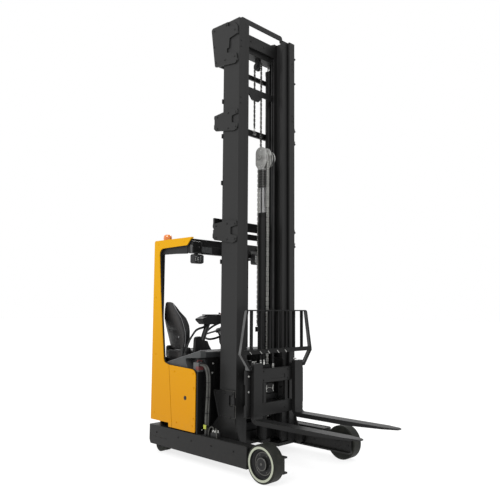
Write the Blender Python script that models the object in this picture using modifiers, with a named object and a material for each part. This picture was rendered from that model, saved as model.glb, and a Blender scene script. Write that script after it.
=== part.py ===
"""Sit-on reach truck with a triple mast, a reach carriage and forks, in metres.

+X points to the fork tips, +Y to the truck's left and +Z up. Places along X are
first measured from the axle of the load wheels, and the last step moves the whole
truck so that X = 0 is halfway between its back and its fork tips.
"""

import math

import bmesh
import bpy
from mathutils import Matrix, Vector

gap = 0.0003  # between two pieces that touch
overlap = 0.01  # how deep one piece of a welded part runs into the next
inset = 0.002  # how far a welded piece stands back from the next one's face
running_gap = 0.005  # between pieces that slide past each other

# Load wheels, legs and chassis
load_wheel_diameter = 0.33
axle_radius = 0.03
axle_clearance = 0.0005
hub_depth = 0.045  # from a load wheel's face to the end of its bore
wheel_proud = 0.0225  # how far a load wheel stands outside its leg
wheel_side_gap = 0.0075
chassis_half_width = 0.62
leg_width = 0.11
leg_inner = chassis_half_width - leg_width
load_wheel_face = chassis_half_width + wheel_proud
load_wheel_width = load_wheel_face - leg_inner - wheel_side_gap
ground_clearance = 0.082
chassis_height = 0.193
chassis_top = ground_clearance + chassis_height
deck_thickness = 0.03
deck_low = chassis_top - deck_thickness
skirt_thickness = 0.012
corner_run = 0.02  # the cut-off lower back corner, along X
corner_rise = 0.036

# Lengths, from the front of the body backwards
body_front = -0.87
bulkhead_thickness = 0.0155
battery_length = 0.2795
cab_length = 0.455
battery_front = body_front - bulkhead_thickness
battery_back = battery_front - battery_length
back = battery_back - cab_length

# Channels that the reach carriage rolls in
channel_start = body_front - 0.08
channel_end = 0.14
channel_low = ground_clearance + 0.001
channel_height = 0.142
channel_web = 0.02
channel_flange = 0.014
channel_reach = 0.0345  # how far the flanges stand in from the web
channel_lip = leg_inner - channel_web - channel_reach
member_end = channel_start + 0.06

# Drive and caster
drive_wheel_diameter = 0.343
drive_wheel_width = 0.14
drive_y = 0.20
turret_wall = 0.01
turret_radius = math.hypot(drive_wheel_diameter, drive_wheel_width) / 2 + 0.0098
turret_top = chassis_top + 0.165
wall_top = turret_top + 0.012
rear_cover_thickness = 0.028
drive_x = back + rear_cover_thickness + inset + turret_wall + turret_radius
caster_x = back + 0.118
caster_y = -(chassis_half_width - 0.118)
caster_wheel_diameter = 0.14
caster_wheel_width = 0.042
caster_trail = 0.014
leg_start = caster_x + 0.202
leg_end = -(load_wheel_diameter / 2 + 0.025)

# Body, guard and cab
body_half_width = chassis_half_width - 0.01
side_thickness = 0.03
inside = body_half_width - side_thickness - gap
guard_top = 2.205
guard_low = chassis_top + 0.05
guard_front = battery_back + 0.165
roof_front = guard_front - 0.07
roof_top = guard_top - 0.015
roof_thickness = 0.04
beam_low = guard_top - 0.16
beam_high = guard_top - 0.075
rear_corner = 0.12  # width of the guard's return round each rear corner
cover_bottom = chassis_top + 0.01
cover_front = body_front - 0.036
seam_gap = 0.003  # on each side of the slanting seam
seam_top_x = battery_back - 0.165
seam_bottom_x = seam_top_x + 0.068
floor_top = turret_top + 0.03
battery_half_width = body_half_width - 0.07
battery_top = chassis_top + 0.585
bulkhead_top = battery_top + 0.14
hood_step = battery_top + 0.102  # the hood's low part, beside the seat
hood_top = battery_top + 0.212
cowl_inner = -(body_half_width - 0.10)
cowl_back = battery_back - 0.235
cowl_low_top = battery_top + 0.065
seat_x = battery_back - 0.153
seat_y = -0.2935
seat_turn = math.radians(-15)
pedestal_top = floor_top + 0.4977
seat_top = pedestal_top + 0.0923
backrest_top = seat_top + 0.48

# Reach carriage and mast
reach_clearance = 0.0082
reach_sheet = 0.015
mast_half_width = channel_lip - reach_clearance - reach_sheet - gap
carriage_back = body_front + 0.012
mast_front = carriage_back + 0.338
mast_depth = 0.225
mast_back = mast_front - mast_depth
mast_bottom = channel_low + 0.037
mast_top = 4.43
outer_web = 0.02
outer_flange = 0.022
outer_lip = mast_half_width - 0.084
stage_gap = 0.006  # between the flanges of one stage and the next
roller_clearance = 0.0007
middle_flange = 0.018
middle_web = 0.014
middle_web_at = outer_lip - 0.012
middle_outer = mast_half_width - outer_web - 0.012
middle_lip = middle_outer - 0.137
middle_back = mast_back + outer_flange + stage_gap
middle_front = mast_front - outer_flange - stage_gap
inner_flange = 0.016
inner_web = 0.015
inner_outer = middle_web_at - 0.007
inner_lip = inner_outer - 0.059
inner_back = middle_back + middle_flange + stage_gap
inner_front = middle_front - middle_flange - stage_gap
tie_plate = 0.014
hoop_height = 0.081  # above the mast's top
hoop_bar = 0.035

# Lift cylinders, free-lift cylinder and lifting chain
lift_cylinder_x = mast_back - 0.055
lift_cylinder_y = mast_half_width - 0.112
lift_barrel_radius = 0.04
lift_rod_radius = 0.026
lift_barrel_top = mast_top - 0.28
middle_beam_low = mast_top - 0.21
box_top = mast_bottom + 0.22  # the reach carriage's cross box
bore_clearance = 0.001
bore_foot = 0.03
free_cylinder_x = mast_front - 0.065
free_barrel_radius = 0.05
free_rod_radius = 0.032
free_foot = mast_bottom + 0.04
free_barrel_top = 2.47
head_low = 2.74
sheave_z = 3.06
sheave_rim = 0.085
chain_width = 0.032
chain_depth = 0.018
chain_waist = 0.012
chain_pattern = 0.0508  # two links
sheave_groove = free_barrel_radius + running_gap - gap
chain_offset = sheave_groove + gap + chain_depth / 2
chain_bracket_top = 1.30

# Lifting carriage, tilting carrier and forks
fork_face = mast_front + 0.166
fork_thickness = 0.042
fork_width = 0.12
fork_length = 1.15
fork_top = 0.448
fork_heel_radius = 0.07
fork_tip_width = 0.06
fork_tip_taper = 0.15
fork_y = 0.30
hinge_x = mast_front + 0.055
hinge_z = fork_top + 0.112
hinge_radius = 0.016
carrier_half_width = 0.42
carrier_front = fork_face - fork_thickness - gap
carrier_back = carrier_front - 0.035
lower_bar = (fork_top + 0.012, fork_top + 0.132)
upper_bar = (fork_top + 0.322, fork_top + 0.457)
shank_top = fork_top + 0.517
carriage_plate_back = mast_front - 0.005
carriage_plate_front = mast_front + 0.02
carriage_plate_top = fork_top + 0.432
chain_anchor_top = carriage_plate_top + 0.05
cheek_outer = inner_lip - 0.025
rest_top = 1.475

# Reach cylinder
reach_barrel_radius = 0.034
reach_rod_radius = 0.02
reach_y = caster_y + 0.192
reach_z = ground_clearance + 0.083
reach_barrel_back = back + 0.07

truck_shift = (-back - (fork_face + fork_length)) / 2

# Each finish: colour, metallic, roughness
finishes = {
    "yellow_paint": ((0.90, 0.50, 0.02), 0.0, 0.35),
    "black_paint": ((0.035, 0.035, 0.036), 0.0, 0.45),
    "grey_plastic": ((0.17, 0.18, 0.19), 0.0, 0.6),
    "dark_plastic": ((0.03, 0.03, 0.032), 0.0, 0.6),
    "seat_vinyl": ((0.05, 0.05, 0.055), 0.0, 0.7),
    "steel": ((0.62, 0.62, 0.62), 1.0, 0.3),
    "tyre": ((0.05, 0.05, 0.045), 0.0, 0.8),
    "lamp": ((0.08, 0.08, 0.08), 0.0, 0.4),
    "beacon": ((0.95, 0.40, 0.04), 0.0, 0.3),
}


def clear_scene():
    for old in list(bpy.data.objects):
        bpy.data.objects.remove(old, do_unlink=True)


def new_collection(name):
    group = bpy.data.collections.new(name)
    bpy.context.scene.collection.children.link(group)
    return group


clear_scene()
truck = new_collection("reach_truck")
tools = new_collection("cutters")
tools.hide_render = True


def placed(name, mesh, matrix=None):
    thing = bpy.data.objects.new(name, mesh)
    truck.objects.link(thing)
    if matrix is not None:
        thing.matrix_world = matrix
    return thing


def box(name, low, high, bevel=0.0, segments=2):
    """A block between two opposite corners, with its origin in its middle."""
    low = Vector(low)
    high = Vector(high)
    shape = bmesh.new()
    bmesh.ops.create_cube(shape, size=1.0)
    bmesh.ops.scale(shape, vec=high - low, verts=shape.verts)
    mesh = bpy.data.meshes.new(name)
    shape.to_mesh(mesh)
    shape.free()
    thing = placed(name, mesh, Matrix.Translation((low + high) / 2))
    if bevel:
        edge = thing.modifiers.new("edges", "BEVEL")
        edge.width = bevel
        edge.segments = segments
    return thing


def turn_to(axis):
    """The rotation that takes +Z to an axis named x, y or z."""
    return {
        "x": Matrix.Rotation(math.pi / 2, 4, "Y"),
        "y": Matrix.Rotation(-math.pi / 2, 4, "X"),
        "z": Matrix.Identity(4),
    }[axis]


def rod(name, centre, axis, radius, length, sides=24):
    """A plain cylinder whose middle is at centre."""
    shape = bmesh.new()
    bmesh.ops.create_cone(
        shape, cap_ends=True, segments=sides, radius1=radius, radius2=radius, depth=length
    )
    mesh = bpy.data.meshes.new(name)
    shape.to_mesh(mesh)
    shape.free()
    smooth(mesh)
    return placed(name, mesh, Matrix.Translation(centre) @ turn_to(axis))


def smooth(mesh):
    mesh.shade_smooth()
    mesh.set_sharp_from_angle(angle=math.radians(35))


def turned(name, centre, axis, profile, steps=40):
    """A turned piece: profile rows are (radius, height), outer side from top to bottom."""
    mesh = bpy.data.meshes.new(name)
    points = [(radius, 0.0, height) for radius, height in profile]
    edges = [(i, i + 1) for i in range(len(points) - 1)]
    closed = profile[0][0] > 0 and profile[-1][0] > 0
    if closed:
        edges.append((len(points) - 1, 0))
    mesh.from_pydata(points, edges, [])
    thing = placed(name, mesh, Matrix.Translation(centre) @ turn_to(axis))
    screw = thing.modifiers.new("turn", "SCREW")
    screw.steps = steps
    screw.render_steps = steps
    screw.use_merge_vertices = True
    screw.merge_threshold = 0.00005
    screw.use_smooth_shade = True
    return thing


def rounded(corners, arc_step=math.radians(22.5)):
    """Points of an outline whose corners are (u, v) or (u, v, fillet radius)."""
    points = []
    count = len(corners)
    for i, corner in enumerate(corners):
        here = Vector(corner[:2])
        radius = corner[2] if len(corner) > 2 else 0.0
        if not radius:
            points.append(here)
            continue
        back = (Vector(corners[i - 1][:2]) - here).normalized()
        ahead = (Vector(corners[(i + 1) % count][:2]) - here).normalized()
        half = back.angle(ahead) / 2
        reach = radius / math.tan(half)
        middle = here + (back + ahead).normalized() * (radius / math.sin(half))
        start = here + back * reach - middle
        turn = math.pi - 2 * half
        side = 1.0 if start.cross(here + ahead * reach - middle) > 0 else -1.0
        steps = max(2, round(turn / arc_step))
        for k in range(steps + 1):
            angle = side * turn * k / steps
            points.append(middle + Matrix.Rotation(angle, 2) @ start)
    return points


def to_mesh(curve_object):
    """A mesh object in a curve object's place, with its caps welded."""
    bpy.context.view_layer.update()
    graph = bpy.context.evaluated_depsgraph_get()
    mesh = bpy.data.meshes.new_from_object(curve_object.evaluated_get(graph))
    shape = bmesh.new()
    shape.from_mesh(mesh)
    bmesh.ops.remove_doubles(shape, verts=shape.verts, dist=0.00002)
    bmesh.ops.recalc_face_normals(shape, faces=shape.faces)
    shape.to_mesh(mesh)
    shape.free()
    name = curve_object.name
    matrix = curve_object.matrix_world.copy()
    bpy.data.objects.remove(curve_object, do_unlink=True)
    mesh.name = name
    return placed(name, mesh, matrix)


def plate(name, axis, start, end, outline, holes=()):
    """A flat outline drawn across an axis and extruded between two places on it.

    Corners are (y, z) across x, (x, z) across y and (x, y) across z.
    """
    curve = bpy.data.curves.new(name, "CURVE")
    curve.dimensions = "2D"
    curve.fill_mode = "BOTH"
    curve.extrude = (end - start) / 2
    for corners in (outline, *holes):
        points = rounded(corners)
        spline = curve.splines.new("POLY")
        spline.points.add(len(points) - 1)
        for point, place in zip(spline.points, points):
            point.co = (place[0], place[1], 0.0, 1.0)
        spline.use_cyclic_u = True
    facing = {
        "x": Matrix(((0, 0, 1, 0), (1, 0, 0, 0), (0, 1, 0, 0), (0, 0, 0, 1))),
        "y": Matrix(((1, 0, 0, 0), (0, 0, -1, 0), (0, 1, 0, 0), (0, 0, 0, 1))),
        "z": Matrix.Identity(4),
    }[axis]
    middle = Vector([(start + end) / 2 if axis == letter else 0.0 for letter in "xyz"])
    thing = placed(name, curve, Matrix.Translation(middle) @ facing)
    return to_mesh(thing)


def tube(name, points, radius, closed=False, sides=2):
    """A round bar along points."""
    curve = bpy.data.curves.new(name, "CURVE")
    curve.dimensions = "3D"
    curve.bevel_depth = radius
    curve.bevel_resolution = sides
    curve.use_fill_caps = not closed
    spline = curve.splines.new("POLY")
    spline.points.add(len(points) - 1)
    for point, place in zip(spline.points, points):
        point.co = (*place, 1.0)
    spline.use_cyclic_u = closed
    thing = to_mesh(placed(name, curve))
    smooth(thing.data)
    return thing


def as_tool(thing):
    if thing.name in truck.objects:
        truck.objects.unlink(thing)
        tools.objects.link(thing)
    thing.hide_render = True
    thing.display_type = "WIRE"


def combine(thing, others, operation):
    for other in others:
        as_tool(other)
        step = thing.modifiers.new(operation.lower(), "BOOLEAN")
        step.operation = operation
        step.solver = "EXACT"
        step.object = other
    return thing


def joined(thing, *others):
    return combine(thing, others, "UNION")


def cut(thing, *others):
    return combine(thing, others, "DIFFERENCE")


def sided(side, low, high):
    """The two ends of a stretch of Y on the right (-1) or left (+1) side."""
    return (low, high) if side > 0 else (-high, -low)


sides = (("right", -1), ("left", 1))


def side_box(name, side, x, y, z, **shape):
    """A block given by its stretches of X, of distance from the middle, and of Z."""
    ends = sided(side, *y)
    return box(name, (x[0], ends[0], z[0]), (x[1], ends[1], z[1]), **shape)


def eased(route, steps=4):
    """Points along a smooth curve that passes through a cable's route."""
    points = [Vector(place) for place in route]
    ends = [points[0] * 2 - points[1], *points, points[-1] * 2 - points[-2]]
    found = []
    for before, start, end, after in zip(ends, ends[1:], ends[2:], ends[3:]):
        for k in range(steps):
            t = k / steps
            slope = (end - before) * t
            bend = (2 * before - 5 * start + 4 * end - after) * t ** 2
            turn = (3 * start - before - 3 * end + after) * t ** 3
            found.append(start + 0.5 * (slope + bend + turn))
    return [*found, points[-1]]


def make_chassis():
    wide = chassis_half_width
    low = ground_clearance
    frame = box("chassis_frame", (back, -wide, deck_low), (body_front, wide, chassis_top))
    reach_in = leg_inner + overlap
    adds = [
        box("rear_skirt", (back, -wide, low), (back + skirt_thickness, wide, deck_low + overlap)),
        box("cross_member", (channel_start, -reach_in, low + 0.018),
            (member_end, reach_in, chassis_top - 0.015)),
        rod("turret_wall", (drive_x, drive_y, (deck_low + wall_top) / 2), "z",
            turret_radius + turret_wall, wall_top - deck_low, 48),
    ]
    channel_high = channel_low + channel_height
    axle_start = leg_inner - 0.005
    axle_end = load_wheel_face - hub_depth - 0.0015
    for name, side in sides:
        adds += [
            side_box(f"{name}_skirt", side, (back, leg_start + overlap),
                     (wide - skirt_thickness, wide), (low, deck_low + overlap)),
            side_box(f"{name}_leg", side, (leg_start, leg_end), (leg_inner, wide), (low, chassis_top)),
            side_box(f"{name}_web", side, (channel_start, channel_end),
                     (leg_inner - channel_web, leg_inner + inset), (channel_low, channel_high)),
            rod(f"{name}_axle", (0, side * (axle_start + axle_end) / 2, load_wheel_diameter / 2), "y",
                axle_radius, axle_end - axle_start),
        ]
        for edge, height in (("low", channel_low), ("high", channel_high - channel_flange)):
            adds.append(
                side_box(f"{name}_{edge}_flange", side, (channel_start, channel_end),
                         (channel_lip, leg_inner - channel_web / 2), (height, height + channel_flange))
            )
    joined(frame, *adds)
    cut(
        frame,
        plate("corner_cut", "y", -wide - overlap, wide + overlap, [
            (back - corner_run / 2, low - corner_rise / 2),
            (back + corner_run * 1.5, low - corner_rise / 2),
            (back - corner_run / 2, low + corner_rise * 1.5),
        ]),
        rod("turret_bore", (drive_x, drive_y, turret_top / 2), "z", turret_radius, turret_top, 48),
        rod("steer_hole", (drive_x, drive_y, turret_top), "z", 0.05, 0.1),
        rod("reach_hole", ((channel_start + member_end) / 2, reach_y, reach_z), "x",
            reach_rod_radius + 0.012, 0.2),
    )
    return frame


def make_load_wheel(name, side):
    """A solid wheel with a flat ring, a stepped hub and a cap; its bore opens to the leg only."""
    radius = load_wheel_diameter / 2
    half = load_wheel_width / 2
    bore = axle_radius + axle_clearance
    cap = 0.056
    shoulder = 0.0085
    profile = [
        (0.0, half - 0.008),
        (cap - 0.006, half - 0.008),
        (cap, half - 0.014),
        (cap, half - 0.036),
        (radius - 0.065, half - 0.036),
        (radius - 0.053, half - 0.02),
        (radius - 0.041, half - 0.02),
        (radius - 0.037, half),
        (radius - shoulder, half),
        (radius, half - shoulder),
        (radius, -half + shoulder),
        (radius - shoulder, -half),
        (bore, -half),
        (bore, half - hub_depth),
        (0.0, half - hub_depth),
    ]
    centre = (0, side * (load_wheel_face - half), radius)
    wheel = turned(name, centre, "y", profile, 36)
    if side < 0:
        wheel.matrix_world = Matrix.Translation(centre) @ Matrix.Rotation(math.pi / 2, 4, "X")
    return wheel


def make_drive():
    radius = drive_wheel_diameter / 2
    half = drive_wheel_width / 2
    hub = 0.06
    recess = 0.03
    shoulder = 0.01
    axle_depth = 0.04
    bore = axle_radius + axle_clearance
    profile = [
        (0.0, half - shoulder),
        (hub, half - shoulder),
        (hub, half - recess),
        (radius * 0.7, half - recess),
        (radius * 0.74, half),
        (radius - shoulder, half),
        (radius, half - shoulder),
        (radius, -half + shoulder),
        (radius - shoulder, -half),
        (bore, -half),
        (bore, half - axle_depth),
        (0.0, half - axle_depth),
    ]
    turned("drive_wheel", (drive_x, drive_y, radius), "y", profile, 36)
    crown = 0.03
    leg_y = drive_y - half - 0.012
    axle_length = 0.12
    yoke = rod("drive_yoke", (drive_x, drive_y, turret_top - crown / 2 - gap), "z",
               turret_radius - 0.035, crown, 40)
    joined(
        yoke,
        box("gear_leg", (drive_x - 0.06, leg_y - 0.05, radius - 0.07),
            (drive_x + 0.06, leg_y, turret_top - crown + overlap), bevel=0.012),
        rod("drive_axle", (drive_x, leg_y + axle_length / 4, radius), "y", axle_radius, axle_length),
    )


def make_caster():
    radius = caster_wheel_diameter / 2
    axle_x = caster_x - caster_trail
    flange = 0.012
    crown_half = 0.012
    crown_low = radius + 0.082
    fork = rod("caster_fork", (caster_x, caster_y, deck_low - gap - flange / 2), "z", 0.045, flange)
    joined(
        fork,
        rod("caster_stem", (caster_x, caster_y, (crown_low + deck_low) / 2), "z", 0.025,
            deck_low - crown_low - flange / 2),
        box("caster_crown", (axle_x - 0.03, caster_y - crown_half, radius - 0.02),
            (caster_x + 0.03, caster_y + crown_half, crown_low + overlap)),
    )
    inner = crown_half + inset
    half = inner + caster_wheel_width
    shoulder = 0.004
    hub = 0.02
    pin = 0.008
    profile = [
        (0.0, half - 0.01), (hub, half - 0.01), (hub, half), (radius - shoulder, half),
        (radius, half - shoulder), (radius, inner), (pin, inner), (pin, -inner),
        (radius, -inner), (radius, -half + shoulder), (radius - shoulder, -half),
        (hub, -half), (hub, -half + 0.01), (0.0, -half + 0.01),
    ]
    turned("caster_wheels", (axle_x, caster_y, radius), "y", profile, 32)
    cut(fork, rod("caster_bore", (axle_x, caster_y, radius), "y", pin + axle_clearance, 0.1))


def make_guard_side(name, side):
    y = sided(side, body_half_width - side_thickness, body_half_width)
    if side < 0:
        tab = seam_bottom_x - 0.06
        foot = [
            (tab, guard_low), (tab + 0.005, cover_bottom), (seam_bottom_x - seam_gap, cover_bottom),
            (seam_top_x - seam_gap, battery_top + 0.045), (seam_top_x - 0.09, battery_top + 0.065, 0.05),
        ]
    else:
        foot = [
            (battery_back - 0.08, guard_low), (battery_back - 0.10, floor_top, 0.02),
            (back + 0.15, floor_top + 0.02, 0.05),
        ]
    outline = [
        (back, guard_low), *foot, (back + 0.12, guard_top - 0.555), (back + 0.085, guard_top - 0.09, 0.06),
        (guard_front - 0.075, guard_top - 0.08), (guard_front, guard_top), (back, guard_top, 0.02),
    ]
    thing = plate(name, "y", *y, outline)
    corner = side_box(f"{name}_return", side, (back + 0.001, back + 0.03),
                      (body_half_width - rear_corner, body_half_width - 0.005),
                      (guard_low + inset, guard_top - 0.025))
    return joined(thing, corner)


def make_roof():
    front = roof_front - 0.035
    rear = back + 0.03 + gap
    rim = 0.06
    bars = 7
    bar_half = 0.014
    corner = 0.01
    step = 2 * (inside - rim) / bars
    slots = []
    for i in range(bars):
        low = -inside + rim + step * i + bar_half
        high = low + step - 2 * bar_half
        slots.append([
            (rear + 0.12, low, corner), (front - 0.05, low, corner),
            (front - 0.05, high, corner), (rear + 0.12, high, corner),
        ])
    outline = [(rear, -inside), (front, -inside), (front, inside), (rear, inside)]
    return plate("guard_roof", "z", roof_top - roof_thickness, roof_top, outline, slots)


def make_guard_front():
    beam_half = inside - 0.11
    beam = box("guard_front", (roof_front - 0.03, -beam_half, beam_low),
               (roof_front + 0.03, beam_half, beam_high), bevel=0.006)
    adds = [
        box("guard_lip", (roof_front - 0.034, -inside, beam_high - 0.015),
            (roof_front - 0.008, inside, guard_top - 0.005)),
    ]
    post_x = (guard_front + 0.03, guard_front + 0.07)
    for name, side in sides:
        adds += [
            side_box(f"{name}_bracket", side, (roof_front - 0.03, roof_front + 0.045),
                     (inside - 0.135, inside), (beam_low, guard_top - 0.035), bevel=0.012),
            side_box(f"{name}_post", side, post_x, (0.10, 0.14), (hood_top + gap, beam_high - 0.01)),
            side_box(f"{name}_arm", side, (roof_front, post_x[0] + 0.035), (0.105, 0.135),
                     (beam_low + 0.025, beam_high - 0.02)),
        ]
    return joined(beam, *adds)


def make_body():
    front_edge = [
        (cover_front, cover_bottom, 0.012), (cover_front, battery_top + 0.024, 0.07),
    ]
    side_y = (body_half_width - side_thickness, body_half_width)
    plate("side_cover_right", "y", *sided(-1, *side_y), [
        (seam_bottom_x + seam_gap, cover_bottom), *front_edge,
        (seam_top_x + seam_gap, battery_top + 0.045),
    ])
    left_back = battery_back - 0.07
    plate("side_cover_left", "y", *sided(1, *side_y), [
        (left_back, cover_bottom), *front_edge, (left_back, battery_top + 0.04, 0.02),
    ])
    rear_half = body_half_width - rear_corner - gap
    box("rear_cover", (back, -rear_half, chassis_top + gap),
        (back + rear_cover_thickness, rear_half, battery_top + 0.09), bevel=0.006)
    box("cab_floor", (back + 0.03 + gap, -inside, wall_top + 2 * gap),
        (battery_back - gap, inside, floor_top))
    box("battery", (battery_back, -battery_half_width, chassis_top + gap),
        (battery_front - gap, battery_half_width, battery_top), bevel=0.008)
    bulkhead = box("battery_bulkhead", (battery_front, -body_half_width, chassis_top + gap),
                   (body_front, body_half_width, bulkhead_top))
    cut(bulkhead, box("connector_port", (battery_front - 0.05, -body_half_width - 0.05, battery_top + 0.005),
                      (body_front + 0.05, cowl_inner + 0.02, bulkhead_top - 0.015)))
    rest = bulkhead_top + gap
    plate("battery_hood", "y", cowl_inner, inside, [
        (battery_back, battery_top + gap), (battery_front - gap, battery_top + gap),
        (battery_front - gap, rest), (body_front, rest),
        (body_front, hood_top - 0.02, 0.015), (body_front - 0.11, hood_top, 0.03),
        (body_front - 0.17, hood_step), (battery_back, hood_step),
    ])
    cowl = plate("side_cowl_right", "y", -inside, cowl_inner - gap, [
        (cowl_back, battery_top + gap), (cowl_back, cowl_low_top, 0.01),
        (body_front, hood_top, 0.02), (body_front, rest),
        (battery_front - gap, rest), (body_front - 0.24, bulkhead_top - 0.015, 0.02),
        (body_front - 0.18, battery_top + gap),
    ])
    joined(cowl, rod("cable_grommet", (cable_x, cable_y, cable_foot - 0.02), "z", 0.012, 0.04, 16))


# The armrest's cable comes down to the sloping top of the right cowl
cable_x = battery_back + 0.035
cable_y = -(inside - 0.02)
cable_foot = battery_top + 0.148


def make_cables():
    """The armrest's cable, and the battery's connector with its two leads."""
    tube("control_cable", eased([
        (cable_x + 0.04, -0.338, 1.318 - gap), (cable_x + 0.04, -0.338, 1.311),
        (cable_x + 0.04, -0.338, 1.304), (cable_x + 0.04, -0.354, 1.290),
        (cable_x + 0.042, -0.39, 1.282), (cable_x + 0.051, -0.44, 1.272),
        (cable_x + 0.052, -0.48, 1.249), (cable_x + 0.042, -0.53, 1.179),
        (cable_x + 0.033, cable_y + 0.005, 1.125), (cable_x + 0.019, cable_y - 0.003, 1.065),
        (cable_x, cable_y, cable_foot + 0.035), (cable_x, cable_y, cable_foot + 0.018),
        (cable_x, cable_y, cable_foot + gap),
    ]), 0.007)
    plug = box("battery_cables", (battery_front - 0.10, -inside + 0.005, battery_top + gap),
               (battery_front - 0.02, cowl_inner - 0.002, battery_top + 0.095), bevel=0.006)
    leads = []
    for i, y in enumerate((-(inside - 0.018), -(inside - 0.045))):
        leads.append(tube(f"battery_lead_{i}", eased([
            (battery_front - 0.035, y, battery_top + 0.07), (body_front + 0.003, y, battery_top + 0.07),
            (body_front + 0.04, y, battery_top + 0.06), (body_front + 0.07, y, battery_top + 0.02),
            (body_front + 0.085, y, battery_top - 0.06), (body_front + 0.085, y, battery_top - 0.16),
            (body_front + 0.08, y, chassis_top + 0.32), (body_front + 0.07, y, chassis_top + 0.17),
            (body_front + 0.07, y, chassis_top + 0.035), (body_front + 0.07, y, chassis_top + gap),
        ], 3), 0.011))
    joined(plug, *leads)


def make_seat():
    box("seat_pedestal", (back + 0.08, cowl_inner, floor_top + gap),
        (battery_back - gap, -0.03, pedestal_top), bevel=0.01)
    turn = Matrix.Translation((seat_x, seat_y, 0)) @ Matrix.Rotation(seat_turn, 4, "Z")
    low = pedestal_top + gap
    cushion = box("seat_cushion", (-0.21, -0.14, low), (0.21, 0.27, seat_top), bevel=0.03, segments=3)
    cushion.matrix_world = turn @ cushion.matrix_world
    rest = plate("seat_back", "y", -0.25, -0.15, [
        (-0.13, low, 0.03), (0.11, low, 0.03), (0.21, seat_top + 0.16, 0.1),
        (0.20, seat_top + 0.34, 0.08), (0.13, backrest_top, 0.05), (-0.13, backrest_top, 0.05),
        (-0.20, seat_top + 0.34, 0.08), (-0.21, seat_top + 0.16, 0.1),
    ])
    rest.matrix_world = turn @ rest.matrix_world


def make_armrest():
    pod_x = (battery_back + 0.01, battery_back + 0.12)
    pod = plate("armrest_pod", "x", *pod_x, [
        (-0.425, 1.372, 0.012), (-0.36, 1.318, 0.03), (-0.20, 1.318, 0.02), (-0.02, 1.335, 0.02),
        (0.02, 1.375, 0.02), (0.01, 1.405, 0.015), (-0.15, 1.418), (-0.34, 1.405, 0.03),
    ])
    foot = hood_step + gap
    joined(
        pod,
        tube("armrest_column", [(pod_x[1] - 0.032, -0.42, 1.06), (pod_x[1] - 0.055, -0.27, 1.37)],
             0.026, sides=3),
        plate("armrest_base", "x", pod_x[1] - 0.04, pod_x[1] - inset, [
            (-0.505, foot), (-0.27, foot), (-0.265, foot + 0.078, 0.01), (-0.31, foot + 0.138, 0.02),
            (-0.335, foot + 0.188, 0.01), (-0.415, foot + 0.198, 0.01), (-0.43, foot + 0.238, 0.01),
            (-0.49, foot + 0.233, 0.03),
        ]),
    )


def make_steering():
    wheel_at = Vector((battery_back - 0.195, 0.10, floor_top + 0.77))
    radius = 0.165
    grip = 0.012
    floor = floor_top + gap
    console = plate("steering_console", "x", wheel_at.x - 0.065, wheel_at.x + 0.065, [
        (0.30, floor), (0.46, floor), (0.42, floor_top + 0.48, 0.08), (0.25, floor_top + 0.70, 0.02),
        (0.17, floor_top + 0.645, 0.02), (0.28, floor_top + 0.46, 0.08),
    ])
    lean = Matrix.Rotation(math.radians(35), 4, "X")
    axis = lean @ Vector((0, 0, 1))
    joined(console, tube("steering_stem", [wheel_at - axis * 0.17, wheel_at - axis * 0.012], 0.02, sides=3))
    around = [i * math.tau / 40 for i in range(40)]
    ring = [(radius * math.cos(angle), radius * math.sin(angle), 0) for angle in around]
    wheel = tube("steering_wheel", ring, grip, closed=True)
    spokes = [rod("wheel_hub", (0, 0, -0.002), "z", 0.035, 0.018)]
    for i in range(3):
        spoke = box(f"wheel_spoke_{i}", (0.02, -grip, -0.006), (radius, grip, 0.004))
        spoke.matrix_world = Matrix.Rotation(math.radians(90 + 120 * i), 4, "Z") @ spoke.matrix_world
        spokes.append(spoke)
    place = Matrix.Translation(wheel_at) @ lean
    for piece in (wheel, *spokes):
        piece.matrix_world = place @ piece.matrix_world
    joined(wheel, *spokes)


def make_pedals():
    floor = floor_top + gap
    pedals = box("pedals", (back + 0.04, 0.42, floor), (back + 0.185, 0.46, floor_top + 0.02))
    adds = []
    for i, x in enumerate((back + 0.045, back + 0.12)):
        pad = box(f"pedal_pad_{i}", (x, 0.30, floor_top + 0.03), (x + 0.065, 0.45, floor_top + 0.045))
        pad.matrix_world = pad.matrix_world @ Matrix.Rotation(math.radians(12), 4, "X")
        adds.append(pad)
        adds.append(box(f"pedal_stem_{i}", (x + 0.018, 0.425, floor_top + 0.01),
                        (x + 0.047, 0.445, floor_top + 0.045)))
    joined(pedals, *adds)


def make_lights():
    """Two work lamps with a recessed lens each, and the beacon on the roof."""
    recess = 0.004
    rim = 0.012
    lamps = (
        ("right", (roof_front, -0.57, beam_low - 0.10), (roof_front + 0.07, -0.44, beam_low - 0.015)),
        ("left", (roof_front + 0.03 + gap, 0.28, beam_low - 0.065),
         (roof_front + 0.095, 0.40, beam_low + 0.045)),
    )
    for name, low, high in lamps:
        lamp = box(f"work_lamp_{name}", low, high, bevel=0.01)
        if name == "right":
            joined(lamp, box("lamp_stem", (roof_front + 0.01, -0.525, high[2] - overlap),
                             (roof_front + 0.032, -0.49, beam_low - gap)))
        cut(lamp, box(f"{name}_lens", (high[0] - recess, low[1] + rim, low[2] + rim),
                      (high[0] + overlap, high[1] - rim, high[2] - rim)))
    turned("beacon", (back + 0.085, -0.50, roof_top + gap), "z", [
        (0.0, 0.09), (0.03, 0.088), (0.042, 0.078), (0.046, 0.06), (0.046, 0.014),
        (0.052, 0.014), (0.052, 0.0), (0.0, 0.0),
    ], 32)


def rail_outline(side, corners):
    """Corners of a rail's section seen from above: (x, distance from the middle)."""
    if side > 0:
        return corners
    return [(x, -y) for x, y in reversed(corners)]


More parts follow.
